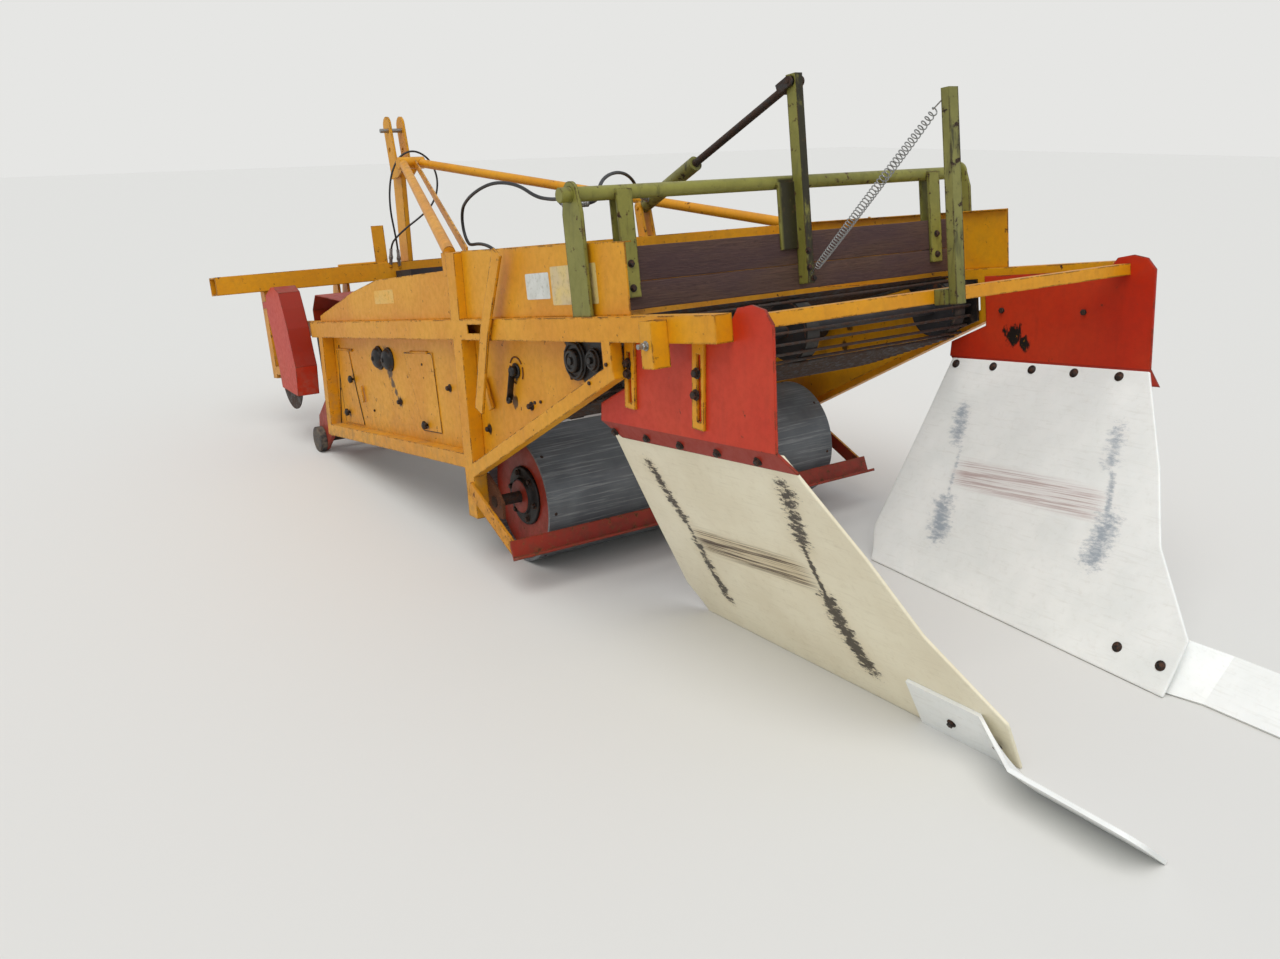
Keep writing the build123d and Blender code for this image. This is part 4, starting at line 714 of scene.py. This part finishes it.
def flapFrame():
    # origin on the kink, unit vectors along it and down the slope, and the outward normal, for the right side
    front, rear = fromBody(flapLook["kinkFront"]), fromBody(flapLook["kinkRear"])
    along = (rear - front) / np.linalg.norm(rear - front)
    normal = np.cross(along, np.array([flapLook["groundHalf"], stance["datumY"], 0]) - front)
    normal /= np.linalg.norm(normal) * np.sign(normal[0])
    return front, along, np.cross(normal, along), normal


flapAt, flapAlong, flapDown, flapOut = flapFrame()


def onFlap(a, d, level):
    a, d, level = (np.asarray(v, float)[..., None] for v in (a, d, level))
    return flapAt + a * flapAlong + d * flapDown - level * flapOut


def alongPolyline(corners, share):
    # point at that share of a polyline's length
    corners = np.asarray(corners, float)
    reach = np.concatenate([[0], np.cumsum(np.linalg.norm(np.diff(corners, axis=0), axis=1))])
    return np.stack([np.interp(share * reach[-1], reach, corners[:, k]) for k in (0, 1)], -1)


def markStrength(a, d, marks):
    # strongest mark at each point: strength e^-(distance / half width)^2 from the mark's polyline
    best = np.zeros_like(a)
    for corners, width, strength in marks:
        for (a0, d0), (a1, d1) in zip(corners[:-1], corners[1:]):
            run = (a1 - a0) ** 2 + (d1 - d0) ** 2
            share = np.clip(((a - a0) * (a1 - a0) + (d - d0) * (d1 - d0)) / run, 0, 1)
            gap = np.hypot(a - a0 - share * (a1 - a0), d - d0 - share * (d1 - d0))
            best = np.maximum(best, strength * np.exp(-(gap / width) ** 2))
    return best


def bandStrength(a, d, band):
    # scrubbed field between two marks, fading at its edges
    (a0, d0), (a1, d1), depth, strength = band
    top = d0 + (d1 - d0) * np.clip((a - a0) / (a1 - a0), 0, 1)
    inside = np.clip((a - a0 + 0.02) / 0.08, 0, 1) * np.clip((a1 + 0.02 - a) / 0.08, 0, 1)
    return strength * inside * np.clip((d - top) / 0.03, 0, 1) * np.clip((top + depth - d) / 0.03, 0, 1)


def flapPiece(name, node, side, material):
    # between the two edges: P(u, v) = (1 - u) front(v) + u rear(v), pushed out by a low wave
    # w sin(pi v) sin(2 pi (0.9 u + 0.1)) that dies out at the plate and at the ground
    rows, columns = flapLook["steps"]
    u, v = np.meshgrid(np.linspace(0, 1, rows), np.linspace(0, 1, columns), indexing="ij")
    front, rear = alongPolyline(flapLook["frontEdge"], v), alongPolyline(flapLook["rearEdge"], v)
    a, d = np.moveaxis((1 - u)[..., None] * front + u[..., None] * rear, -1, 0)
    calm = np.clip((0.85 - v) / 0.35, 0, 1) * np.clip(v / 0.25, 0, 1)
    wave = flapLook["wave"] * calm * np.sin(np.pi * v) * np.sin(2 * np.pi * (0.9 * u + 0.1))
    outer = onFlap(a, d, flapLook["outerLevel"] - wave).reshape(-1, 3)
    inner = onFlap(a, d, flapLook["outerLevel"] + flapLook["thick"] - wave).reshape(-1, 3)
    grid = gridFaces(rows, columns)
    count = rows * columns
    index = np.arange(count).reshape(rows, columns)
    rim = np.concatenate([index[:-1, 0], index[-1, :-1], index[:0:-1, -1], index[0, :0:-1]])
    following = np.roll(rim, -1)
    walls = np.stack([rim, rim + count, following + count, following], 1)
    sheet = np.concatenate([outer, inner]), np.concatenate([grid[:, ::-1], grid + count, walls]).tolist()
    made = pieceFrom(name, [mirrored(sheet) if side < 0 else sheet], material, "machine")
    flat = np.tile(np.stack([a, d, 0 * a], -1).reshape(-1, 3), (2, 1)).ravel()
    made.data.attributes.new("sheet", "FLOAT_VECTOR", "POINT").data.foreach_set("vector", flat)
    rub, scrub = markStrength(a, d, flapMarks[node]["marks"]), bandStrength(a, d, flapMarks[node]["band"])
    for attribute, values in (("rub", rub), ("scrub", scrub)):
        values = np.tile(values.ravel(), 2)
        made.data.attributes.new(attribute, "FLOAT", "POINT").data.foreach_set("value", values)
    rounded = made.modifiers.new("roundedRim", "BEVEL")
    rounded.width, rounded.limit_method = flapLook["rim"], "ANGLE"
    rounded.angle_limit = math.radians(flapLook["rimFrom"])
    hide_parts(node)


flapPiece("flapSheetLeft", "flap_left", -1, shadedCreamSheet)
flapPiece("flapSheetRight", "flap_right", 1, whiteSheet)

flapBolts = {"alongKink": (0.055, 0.243, 0.426, 0.612, 0.797), "down": 0.040, "nutLevel": 0.0,
             "onStrip": ((1.100, 0.972), (1.259, 0.990)), "stripNutLevel": -0.0047,
             "headLevel": 0.018, "head": 0.022, "nut": 0.019, "nutHeight": 0.010}


def flapFasteners():
    places = [(a, flapBolts["down"], flapBolts["nutLevel"]) for a in flapBolts["alongKink"]]
    places += [(a, d, flapBolts["stripNutLevel"]) for a, d in flapBolts["onStrip"]]
    heads = [domeBolt(onFlap(a, d, flapBolts["headLevel"]), -flapOut, flapBolts["head"])
             for a, d, level in places]
    nuts = [hexBolt(onFlap(a, d, level), flapOut, flapBolts["nut"], flapBolts["nutHeight"])
            for a, d, level in places]
    pieceFrom("flapBoltHeads", bothSides(heads), darkNuts, "machine")
    pieceFrom("flapNuts", bothSides(nuts), darkNuts, "machine", smooth=False)


flapFasteners()
print("flaps made")


# Hoses: corners of the routes as x, s and h in millimetres; each sleeve is put on the end that is named
# first, away from the corner named second, with a neck of that many metres

hoseLook = {
    "hoseFeed": {"node": "hose_feed", "thick": 13, "length": 1.869, "sleeves": (
        (0, 1, 0.050), (-1, -2, 0.027)), "route": (
        (-850, 1345, 150), (-848, 1370, 207), (-842, 1430, 245), (-830, 1520, 272), (-810, 1620, 284),
        (-788, 1712, 288), (-765, 1800, 289), (-745, 1875, 294), (-740, 1917, 336), (-742, 1920, 396),
        (-750, 1882, 442), (-770, 1802, 460), (-795, 1700, 474), (-805, 1590, 491), (-807, 1480, 500),
        (-808, 1370, 492), (-808, 1250, 467), (-808, 1140, 417), (-812, 1030, 398), (-835, 930, 392),
        (-864, 868, 366), (-865, 812, 364))},
    "hoseRam": {"node": "hose_ram", "thick": 13, "length": 1.205, "sleeves": ((0, 1, 0.027),), "route": (
        (-844, 792, 360), (-774, 797, 363), (-715, 875, 398), (-610, 1010, 450), (-500, 1130, 482),
        (-385, 1240, 499), (-270, 1350, 495), (-165, 1460, 466), (-100, 1565, 432), (-21, 1609, 417))},
    "hoseDrop": {"node": "hose_drop", "thick": 13, "length": 0.203, "sleeves": (
        (-1, -2, 0.050), (0, 1, 0.027)), "route": (
        (-856, 792, 340), (-856, 792, 272), (-855, 840, 216), (-855, 840, 150))},
    "hoseMast": {"node": "hose_mast", "thick": 12, "length": 1.591, "sleeves": (
        (0, 1, 0.060), (-1, -2, 0.060)), "route": (
        (-85, 4334, 330), (-90, 4318, 395), (-112, 4275, 480), (-134, 4243, 595), (-130, 4230, 715),
        (-102, 4222, 830), (-40, 4216, 925), (55, 4214, 958), (150, 4218, 908), (196, 4222, 806),
        (184, 4222, 700), (128, 4220, 610), (38, 4215, 548), (-58, 4214, 492), (-122, 4238, 440),
        (-137, 4300, 400), (-138, 4322, 340))},
}


def routeOf(hose):
    return fromBody(np.array(hose["route"]) / 1000)


def hosePiece(name, hose):
    # open NURBS curve of order 3 that starts and ends on its end points
    corners = routeOf(hose)
    curve = bpy.data.curves.new(name, "CURVE")
    curve.dimensions = "3D"
    spline = curve.splines.new("NURBS")
    spline.points.add(len(corners) - 1)
    for point, corner in zip(spline.points, corners):
        point.co = (*corner, 1)
    spline.order_u = 3
    spline.use_endpoint_u = True
    spline.resolution_u = 8
    curve.bevel_depth, curve.bevel_resolution, curve.use_fill_caps = hose["thick"] / 2000, 4, True
    curve.materials.append(hoseRubber)
    made = bpy.data.objects.new(name, curve)
    bpy.context.scene.collection.objects.link(made)
    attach(made, "machine")
    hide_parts(hose["node"])


ferruleLook = {"bore": 0.0068, "sleeve": 0.0102, "back": -0.040, "grooves": 3, "groove": 0.0012,
               "neck": 0.0104, "nut": ((0.0135, 0.006), (0.0145, 0.008), (0.0145, 0.024), (0.0135, 0.026)),
               "ramNeck": 0.018}


def ferrule(corners, end, before, length):
    # crimped sleeve with pressed grooves, then a hexagon and a neck, on the hose's end and its fitting
    run = corners[end] - corners[before]
    run /= np.linalg.norm(run)
    r, pressed, back, neck = (ferruleLook[k] for k in ("sleeve", "groove", "back", "neck"))
    profile = [(ferruleLook["bore"], back), (r, back + 0.002)]
    for k in range(ferruleLook["grooves"]):
        z = back + 0.008 + 0.009 * k
        profile += [(r, z), (r - pressed, z + 0.002), (r - pressed, z + 0.005), (r, z + 0.007)]
    profile += [(r, 0.0), (neck, 0.001), (neck, length * 0.5), (neck, length)]
    return [turned(profile, corners[end], run, 16), turned(ferruleLook["nut"], corners[end], run, 6)]


def hoseEnds():
    parts = []
    for hose in hoseLook.values():
        for end, before, length in hose["sleeves"]:
            parts += ferrule(routeOf(hose), end, before, length)
    pieceFrom("hoseFerrules", parts, zincSteel, "machine", smooth=False)
    atRam = ferrule(routeOf(hoseLook["hoseRam"]), -1, -2, ferruleLook["ramNeck"])
    pieceFrom("ramFerrule", atRam, zincSteel, "ram_barrel", smooth=False)


for name, hose in hoseLook.items():
    hosePiece(name, hose)
hoseEnds()
print("hoses made")


# Return spring of drawn wire between the tall post's head and the lever's foot

springLook = {"top": (-0.104, -0.114, 0.548), "foot": (0.014, 0.645, 0.050), "wire": 0.0021, "turns": 50,
              "wide": 0.0145, "narrow": 0.0095, "hook": 0.055, "even": 0.80, "drawn": 0.20, "drawnPower": 2.2}


def returnSpring():
    # helix p + r(t) (cos n a + sin n b) whose radius shrinks to the hooks at both ends; its pitch is wider
    # in the upper third, where the coils have been pulled
    top, foot = fromBody(springLook["top"]), fromBody(springLook["foot"])
    first, second, axis = besideOf(foot - top)
    length = np.linalg.norm(foot - top)
    share = np.linspace(0, 1, springLook["turns"] * 12)
    hook = springLook["hook"] / length
    inside = np.clip((share - hook) / (1 - 2 * hook), 0, 1)
    coils = springLook["even"] * inside + springLook["drawn"] * inside ** springLook["drawnPower"]
    angle = 2 * np.pi * springLook["turns"] * coils
    belly = springLook["wide"] - springLook["narrow"]
    radius = springLook["narrow"] + belly * np.sin(np.pi * inside) ** 0.5
    radius = radius * np.clip(share / hook, 0, 1) * np.clip((1 - share) / hook, 0, 1)
    path = (top + share[:, None] * length * axis + radius[:, None] * np.cos(angle)[:, None] * first
            + radius[:, None] * np.sin(angle)[:, None] * second)
    made = pieceFrom("helixSpring", [swept(path, springLook["wire"], 6)], zincSteel, None)
    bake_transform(made)
    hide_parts("return_spring")


returnSpring()


# Web rods: round bars in the places of the frame's own

rodLook = {"radius": 0.0055, "sides": 10, "chamfer": 0.0015, "endBand": 0.002, "endReach": 0.017}


def webRods():
    # corners of each bar's end are grouped to its centre, then a turned bar is set on it
    points = np.array([v.co for v in nodes["web_rods"].data.vertices], float).reshape(-1, 3)
    left, right = points[:, 0].min(), points[:, 0].max()
    ends = points[points[:, 0] < left + rodLook["endBand"]][:, 1:]
    centres = []
    while len(ends):
        near = np.linalg.norm(ends - ends[0], axis=1) < rodLook["endReach"]
        group = np.unique(np.round(ends[near], 5), axis=0)
        centres.append((group.min(0) + group.max(0)) / 2)
        ends = ends[~near]
    r, cut, length = rodLook["radius"], rodLook["chamfer"], right - left
    profile = [(r * 0.8, 0), (r, cut), (r, length - cut), (r * 0.8, length)]
    bars = [turned(profile, (left, y, z), outRight, rodLook["sides"]) for y, z in centres]
    made = pieceFrom("webBars", bars, rodSteel, "machine")
    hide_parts("web_rods")
    print("web bars:", len(centres))


webRods()


# Board of two sawn planks, with its bolts

boardLook = {
    "half": 0.809, "rear": 0.697, "front": 0.735, "corner": 0.004, "gap": 0.0012,
    "planks": ((0.002, 0.094, 0.4), (0.094, 0.210, 2.1)),  # low, high and lean
    "boltX": (-0.73, 0.73), "boltH": (0.155, 0.075), "rearFace": 0.685, "frontFace": 0.743, "bolt": 0.017,
    "leverBolts": ((0.012, 0.647, 0.140), (0.012, 0.647, 0.079), (0.030, 0.647, 0.040)), "leverBolt": 0.016,
    "head": 0.009, "nut": 0.012,
}


def plank(low, high, lean):
    # section with rounded arrises carried along x, its edges wandering by a millimetre or two
    depth = boardLook["front"] - boardLook["rear"] - 0.001
    outline = np.array(roundedBox(depth, high - low - boardLook["gap"], boardLook["corner"], 4))
    x = np.linspace(-boardLook["half"], boardLook["half"], 90)
    wander = 0.0004 * np.sin(7.3 * x + 0.4) + 0.0003 * np.sin(19.1 * x + 0.8)
    s = (boardLook["rear"] + boardLook["front"]) / 2 + outline[None, :, 0] + 0 * x[:, None]
    swell = (1 - 0.002 * np.abs(np.sin(5 * x + lean)))[:, None]
    h = (low + high) / 2 + outline[None, :, 1] * swell + wander[:, None]
    points = fromBody(np.stack([np.broadcast_to(x[:, None], s.shape), s, h], -1)).reshape(-1, 3)
    return points, tubeFaces(len(x), len(outline))


def boardBolts():
    look = boardLook
    parts = []
    for x in look["boltX"]:
        for h in look["boltH"]:
            parts.append(hexBolt(fromBody((x, look["rearFace"], h)), -bodyAhead, look["bolt"], look["head"]))
            parts.append(hexBolt(fromBody((x, look["frontFace"], h)), bodyAhead, look["bolt"], look["nut"]))
    for place in look["leverBolts"]:
        parts.append(hexBolt(fromBody(place), -bodyAhead, look["leverBolt"], look["head"]))
    pieceFrom("boardBolts", parts, darkNuts, "board", smooth=False)


planks = [plank(*measures) for measures in boardLook["planks"]]
board = pieceFrom("boardPlanks", planks, oldTimber, "board")
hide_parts("swing_board")
boardBolts()
print("spring, web bars and board made")


# Bearings and small hardware of the side walls, for the right side and mirrored; x is the wall's outer face,
# and profiles are r, z in metres

capLook = {"at": ((2.781, -0.181), (2.651, -0.186)), "x": 0.8655, "radius": 0.058, "reach": 0.040,
           "boss": 0.010}
idlerLook = {"at": (0.868, 1.333, -0.200), "washer": ((0.030, 0), (0.030, 0.004)),
             "stub": ((0.020, 0), (0.020, 0.022), (0.016, 0.026), (0.012, 0.027))}
linkLook = {"top": (0.884, 1.337, -0.200), "foot": (0.884, 1.386, -0.312), "thick": 0.006, "wide": 0.026,
            "pin": ((0.014, -0.004), (0.014, 0.008))}
wearLook = {"x": 0.8672, "at": (1.333, -0.200), "radius": 0.052, "wire": 0.0028, "steps": 24,
            "arcs": ((35, 150), (165, 215), (-70, 20))}


def domedCap(s, h):
    # flange, groove, then a dome (r cos, z sin) with a small boss
    radius, reach, boss = capLook["radius"], capLook["reach"], capLook["boss"]
    turn = np.linspace(0, np.pi / 2 * 0.9, 8)
    profile = [(radius, -0.001), (radius, 0.006), (radius * 0.93, 0.008), (radius * 0.90, 0.010)]
    profile += [(radius * 0.88 * math.cos(t), 0.010 + (reach - 0.014) * math.sin(t)) for t in turn]
    profile += [(boss, reach - 0.004), (boss, reach)]
    return turned(profile, fromBody((capLook["x"], s, h)), outRight, 28)


def sideBearings():
    parts = [domedCap(s, h) for s, h in capLook["at"]]
    for profile, sides in (("stub", 20), ("washer", 24)):
        parts.append(turned(idlerLook[profile], fromBody(idlerLook["at"]), outRight, sides))
    made = pieceFrom("bearingCaps", bothSides(parts), greasyIron, "machine")
    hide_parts("bearing_covers")


def shakerLinks():
    # link from the idler's stub down to a clevis, with its pin
    link = [flatBar(linkLook["top"], linkLook["foot"], linkLook["thick"], linkLook["wide"]),
            turned(linkLook["pin"], fromBody(linkLook["foot"]), outRight, 16)]
    pieceFrom("shakerLinks", bothSides(link), greasyIron, "machine")


def wearArcs():
    # rusty rubbing marks round the idler
    s, h = wearLook["at"]
    parts = []
    for start, end in wearLook["arcs"]:
        turn = np.radians(np.linspace(start, end, wearLook["steps"]))
        arc = np.stack([np.full(len(turn), wearLook["x"]), s + wearLook["radius"] * np.cos(turn),
                        h + wearLook["radius"] * np.sin(turn)], -1)
        parts.append(swept(fromBody(arc), wearLook["wire"], 8))
    pieceFrom("wearArcs", bothSides(parts), rustySteel, "machine")


sideBearings()
shakerLinks()
wearArcs()

housingLook = {
    "plateX": 0.853, "plateThick": 0.012,
    "plate": ((0.600, -0.205), (0.794, -0.272), (0.983, -0.040), (0.600, -0.040)),
    "ribbedAt": (0.865, 0.870, -0.150),
    "ribbed": ((0.070, 0), (0.070, 0.009), (0.064, 0.011), (0.062, 0.018), (0.056, 0.019), (0.053, 0.012),
               (0.042, 0.012), (0.040, 0.026), (0.036, 0.030), (0.028, 0.031), (0.026, 0.026), (0.014, 0.026),
               (0.013, 0.034), (0.006, 0.034)),
    "smallAt": (0.865, 0.750, -0.147),
    "small": ((0.040, 0), (0.040, 0.010), (0.034, 0.012), (0.032, 0.020), (0.024, 0.022), (0.020, 0.018),
              (0.012, 0.018), (0.011, 0.028), (0.005, 0.029)),
    "boltCount": 4, "boltCircle": 0.0585, "boltX": 0.874, "boltsFrom": 30, "across": 0.013, "height": 0.009,
}


def drumHousings():
    # bearer plate with a ribbed flange housing and a smaller greasy one beside it
    look = housingLook
    parts = [plateOf(look["plate"], fromBody((look["plateX"], 0, 0)), bodyAhead, bodyUp, look["plateThick"]),
             turned(look["ribbed"], fromBody(look["ribbedAt"]), outRight, 36),
             turned(look["small"], fromBody(look["smallAt"]), outRight, 28)]
    s, h = look["ribbedAt"][1:]
    for k in range(look["boltCount"]):
        turn = math.radians(360 / look["boltCount"] * k + look["boltsFrom"])
        ahead, above = look["boltCircle"] * math.cos(turn), look["boltCircle"] * math.sin(turn)
        spot = fromBody((look["boltX"], s + ahead, h + above))
        parts.append(hexBolt(spot, outRight, look["across"], look["height"], washer=False))
    made = pieceFrom("drumHousings", bothSides(parts), greasyIron, "machine", smooth=False)
    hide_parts("drum_bearers")


drumHousings()

# painted shade: corners s, h of the dark lines drawn in the gaps round the doors and beside the front upright
gapShadeLook = {"x": 0.8672, "wire": 0.0022, "steps": 12, "lines": (
    ((3.409, -0.535), (3.403, -0.150), (3.240, -0.151), (3.220, -0.158), (3.210, -0.180), (3.178, -0.356),
     (3.126, -0.535)),
    ((2.448, -0.152), (2.150, -0.149), (2.130, -0.156), (2.122, -0.176), (2.122, -0.502), (2.328, -0.503)),
    ((3.358, -0.125), (3.504, -0.558)),
)}


def doorGapShade():
    # painted shade: dark lines drawn in the gap round each door and beside the front upright, where shade
    # falls
    parts = []
    for corners in gapShadeLook["lines"]:
        ends = fromBody([(gapShadeLook["x"], *corner) for corner in corners])
        parts += [swept(np.linspace(start, end, gapShadeLook["steps"]), gapShadeLook["wire"], 6)
                  for start, end in zip(ends[:-1], ends[1:])]
    pieceFrom("doorGapShade", bothSides(parts), greasyIron, "machine")


doorGapShade()

hardwareLook = {
    "disc": {"x": 0.8655, "profile": ((0.017, 0), (0.017, 0.003))},
    "pivots": {"x": 0.867, "across": 0.019, "height": 0.014, "washer": True, "at": (
        (2.576, -0.386), (1.978, -0.294), (1.630, -0.445), (1.642, -0.222), (1.243, -0.330))},
    "wall": {"x": 0.8655, "across": 0.011, "height": 0.006, "washer": False, "at": (
        (1.166, -0.31), (0.917, -0.213), (1.239, -0.389), (2.250, -0.20), (2.95, -0.45), (3.43, -0.36))},
    "brackets": {"x": 0.875, "across": 0.022, "height": 0.013, "washer": True, "at": (
        (0.170, -0.171), (0.535, -0.151), (0.184, -0.235), (0.539, -0.185))},
    "braces": {"x": 0.926, "across": 0.012, "height": 0.006, "washer": False, "at": (
        (0.582, -0.150), (0.700, -0.214), (1.096, -0.300))},
    "guidePlates": {"x": 0.8602, "across": 0.020, "height": 0.012, "washer": True, "at": (
        (0.479, -0.166), (0.113, -0.178))},
    "socket": {"x": 0.985, "across": 0.019, "height": 0.012, "washer": True, "at": ((0.256, -0.080),)},
    "socketPin": ((0.008, 0), (0.008, 0.03)),
    # two ends, width and depth of the clevis beside the leaning lever, and of the latch bar
    "lugs": (((0.880, 1.600, -0.235), (0.880, 1.560, -0.360), 0.030, 0.014),
             ((0.876, 3.077, -0.331), (0.876, 3.067, -0.413), 0.018, 0.010)),
}


def wallHardware():
    look = hardwareLook
    dark = [turned(look["disc"]["profile"], fromBody((look["disc"]["x"], s, h)), outRight, 18)
            for s, h in look["pivots"]["at"]]
    for row in ("pivots", "wall", "brackets", "braces"):
        dark += boltRow(look[row])
    dark += boltRow(look["guidePlates"], outLeft)
    pieceFrom("wallBolts", bothSides(dark), darkNuts, "machine", smooth=False)
    zinc = boltRow(look["socket"])
    zinc += [turned(look["socketPin"], fromBody((look["socket"]["x"], s, h)), outRight, 10)
             for s, h in look["socket"]["at"]]
    pieceFrom("socketBolts", bothSides(zinc), zincSteel, "machine", smooth=False)
    lugs = [flatBar(*measures) for measures in look["lugs"]]
    pieceFrom("wallLugs", bothSides(lugs), goldenEnamel, "machine", smooth=False)


wallHardware()


# Hinge rods and knobs, which turn with the doors

doorLook = {
    "front": {"axisAt": (0.8668, 1.55245, 0.63101), "run": (0, 0.990605, -0.136752), "ends": (-0.152, 0.093),
              "knobs": ((0.8685, 3.200, -0.300), (0.8685, 3.330, -0.480))},
    "rear": {"axisAt": (0.8668, 0.54129, 0.78293), "run": (0, 0.98774, -0.156106), "ends": (-0.113, 0.087),
             "knobs": ((0.8685, 2.275, -0.475),)},
}
rodEnds = {"radius": 0.0062, "bead": 0.0074, "beadLength": 0.014, "slope": 0.002}
knobLook = {"lobes": 5, "lobe": 0.12, "lobedFrom": 0.012, "steps": 40, "profile": (
    (0.006, 0), (0.006, 0.008), (0.017, 0.010), (0.019, 0.015), (0.018, 0.022), (0.010, 0.027))}


def hingeRod(look):
    # rod on the door's own axis, with a bead at each end
    start, end = look["ends"]
    length, bead, radius = end - start, rodEnds["bead"], rodEnds["radius"]
    beadEnd, rodStart = rodEnds["beadLength"], rodEnds["beadLength"] + rodEnds["slope"]
    profile = [(bead, 0), (bead, beadEnd), (radius, rodStart), (radius, length - rodStart),
               (bead, length - beadEnd), (bead, length)]
    return turned(profile, np.asarray(look["axisAt"]) + start * np.asarray(look["run"]), look["run"], 16)


def starKnob(place):
    # clamping knob: radius 1 + 0.12 cos(5 angle) round a domed profile, on a short neck
    first, second, axis = besideOf(outRight)
    profile = np.array(knobLook["profile"])
    angle = np.linspace(0, 2 * np.pi, knobLook["steps"], endpoint=False)
    lobes = 1 + knobLook["lobe"] * np.cos(knobLook["lobes"] * angle)
    r = profile[:, :1] * np.where(profile[:, :1] > knobLook["lobedFrom"], lobes[None], 1.0)
    points = (fromBody(place) + profile[:, 1, None, None] * axis + (r * np.cos(angle))[..., None] * first
              + (r * np.sin(angle))[..., None] * second)
    return points.reshape(-1, 3), tubeFaces(len(profile), knobLook["steps"])


def doorPieces():
    for word in ("left", "right"):
        for door, look in doorLook.items():
            rods, knobs = [hingeRod(look)], [starKnob(place) for place in look["knobs"]]
            if word == "left":
                rods, knobs = ([mirrored(part) for part in parts] for parts in (rods, knobs))
            body, ending = f"door_{door}_{word}", word.title() + door.title()
            pieceFrom("hingeRod" + ending, rods, goldenEnamel, body)
            pieceFrom("doorKnob" + ending, knobs, greasyIron, body)


doorPieces()
print("wall hardware made")


# Roller: screws on the mantle's end bands, and cast hubs with their nuts

rollerLook = {
    "y": -0.15629, "z": 0.273, "radius": 0.273, "screwsAt": 0.731, "screws": 7, "screwsFrom": 129,
    "screw": 0.015, "sunk": 0.0035, "hubX": 0.72, "hub": (
        (0.072, 0), (0.125, 0), (0.125, 0.010), (0.118, 0.013), (0.080, 0.014), (0.076, 0.020),
        (0.074, 0.029), (0.0715, 0.030), (0.0715, 0)),
    "nuts": 6, "nutsFrom": 10, "nutCircle": 0.100, "nutLift": 0.0135, "across": 0.019, "height": 0.011,
}


def rollerDetails():
    look = rollerLook
    screws, nuts = [], []
    for x in (-look["screwsAt"], look["screwsAt"]):
        for k in range(look["screws"]):
            turn = math.radians(360 / look["screws"] * k + look["screwsFrom"])
            outward = np.array([0, math.cos(turn), math.sin(turn)])
            spot = np.array([x, look["y"], look["z"]]) + outward * (look["radius"] - look["sunk"])
            screws.append(domeBolt(spot, outward, look["screw"]))
    pieceFrom("rollerScrews", screws, darkNuts, "roller")
    at = np.array([look["hubX"], look["y"], look["z"]])
    hubs = [turned(look["hub"], at, outRight, 40, ring=True)]
    for k in range(look["nuts"]):
        turn = math.radians(360 / look["nuts"] * k + look["nutsFrom"])
        spot = (look["nutLift"], look["nutCircle"] * math.cos(turn), look["nutCircle"] * math.sin(turn))
        nuts.append(hexBolt(at + np.array(spot), outRight, look["across"], look["height"]))
    pieceFrom("rollerHubs", bothSides(hubs), greasyIron, "roller")
    pieceFrom("rollerHubNuts", bothSides(nuts), darkNuts, "roller", smooth=False)


rollerDetails()


# Bare plates where notices sit; nothing is written on them

platesLook = {
    "White": {"place": (0.8922, 1.045, 0.108), "size": (0.170, 0.090), "finish": paleFoil},
    "Cream": {"place": (0.8922, 0.795, 0.105), "size": (0.300, 0.130), "finish": creamFoil},
    "Amber": {"place": (0.8922, 2.540, 0.108), "size": (0.240, 0.062), "finish": amberFoil},
}
for word, look in platesLook.items():
    plate = plateOf(roundedBox(*look["size"], 0.006), fromBody(look["place"]), bodyAhead, bodyUp, 0.0005)
    pieceFrom("barePlates" + word, bothSides([plate]), look["finish"], "machine", smooth=False)
print("roller details and plates made")
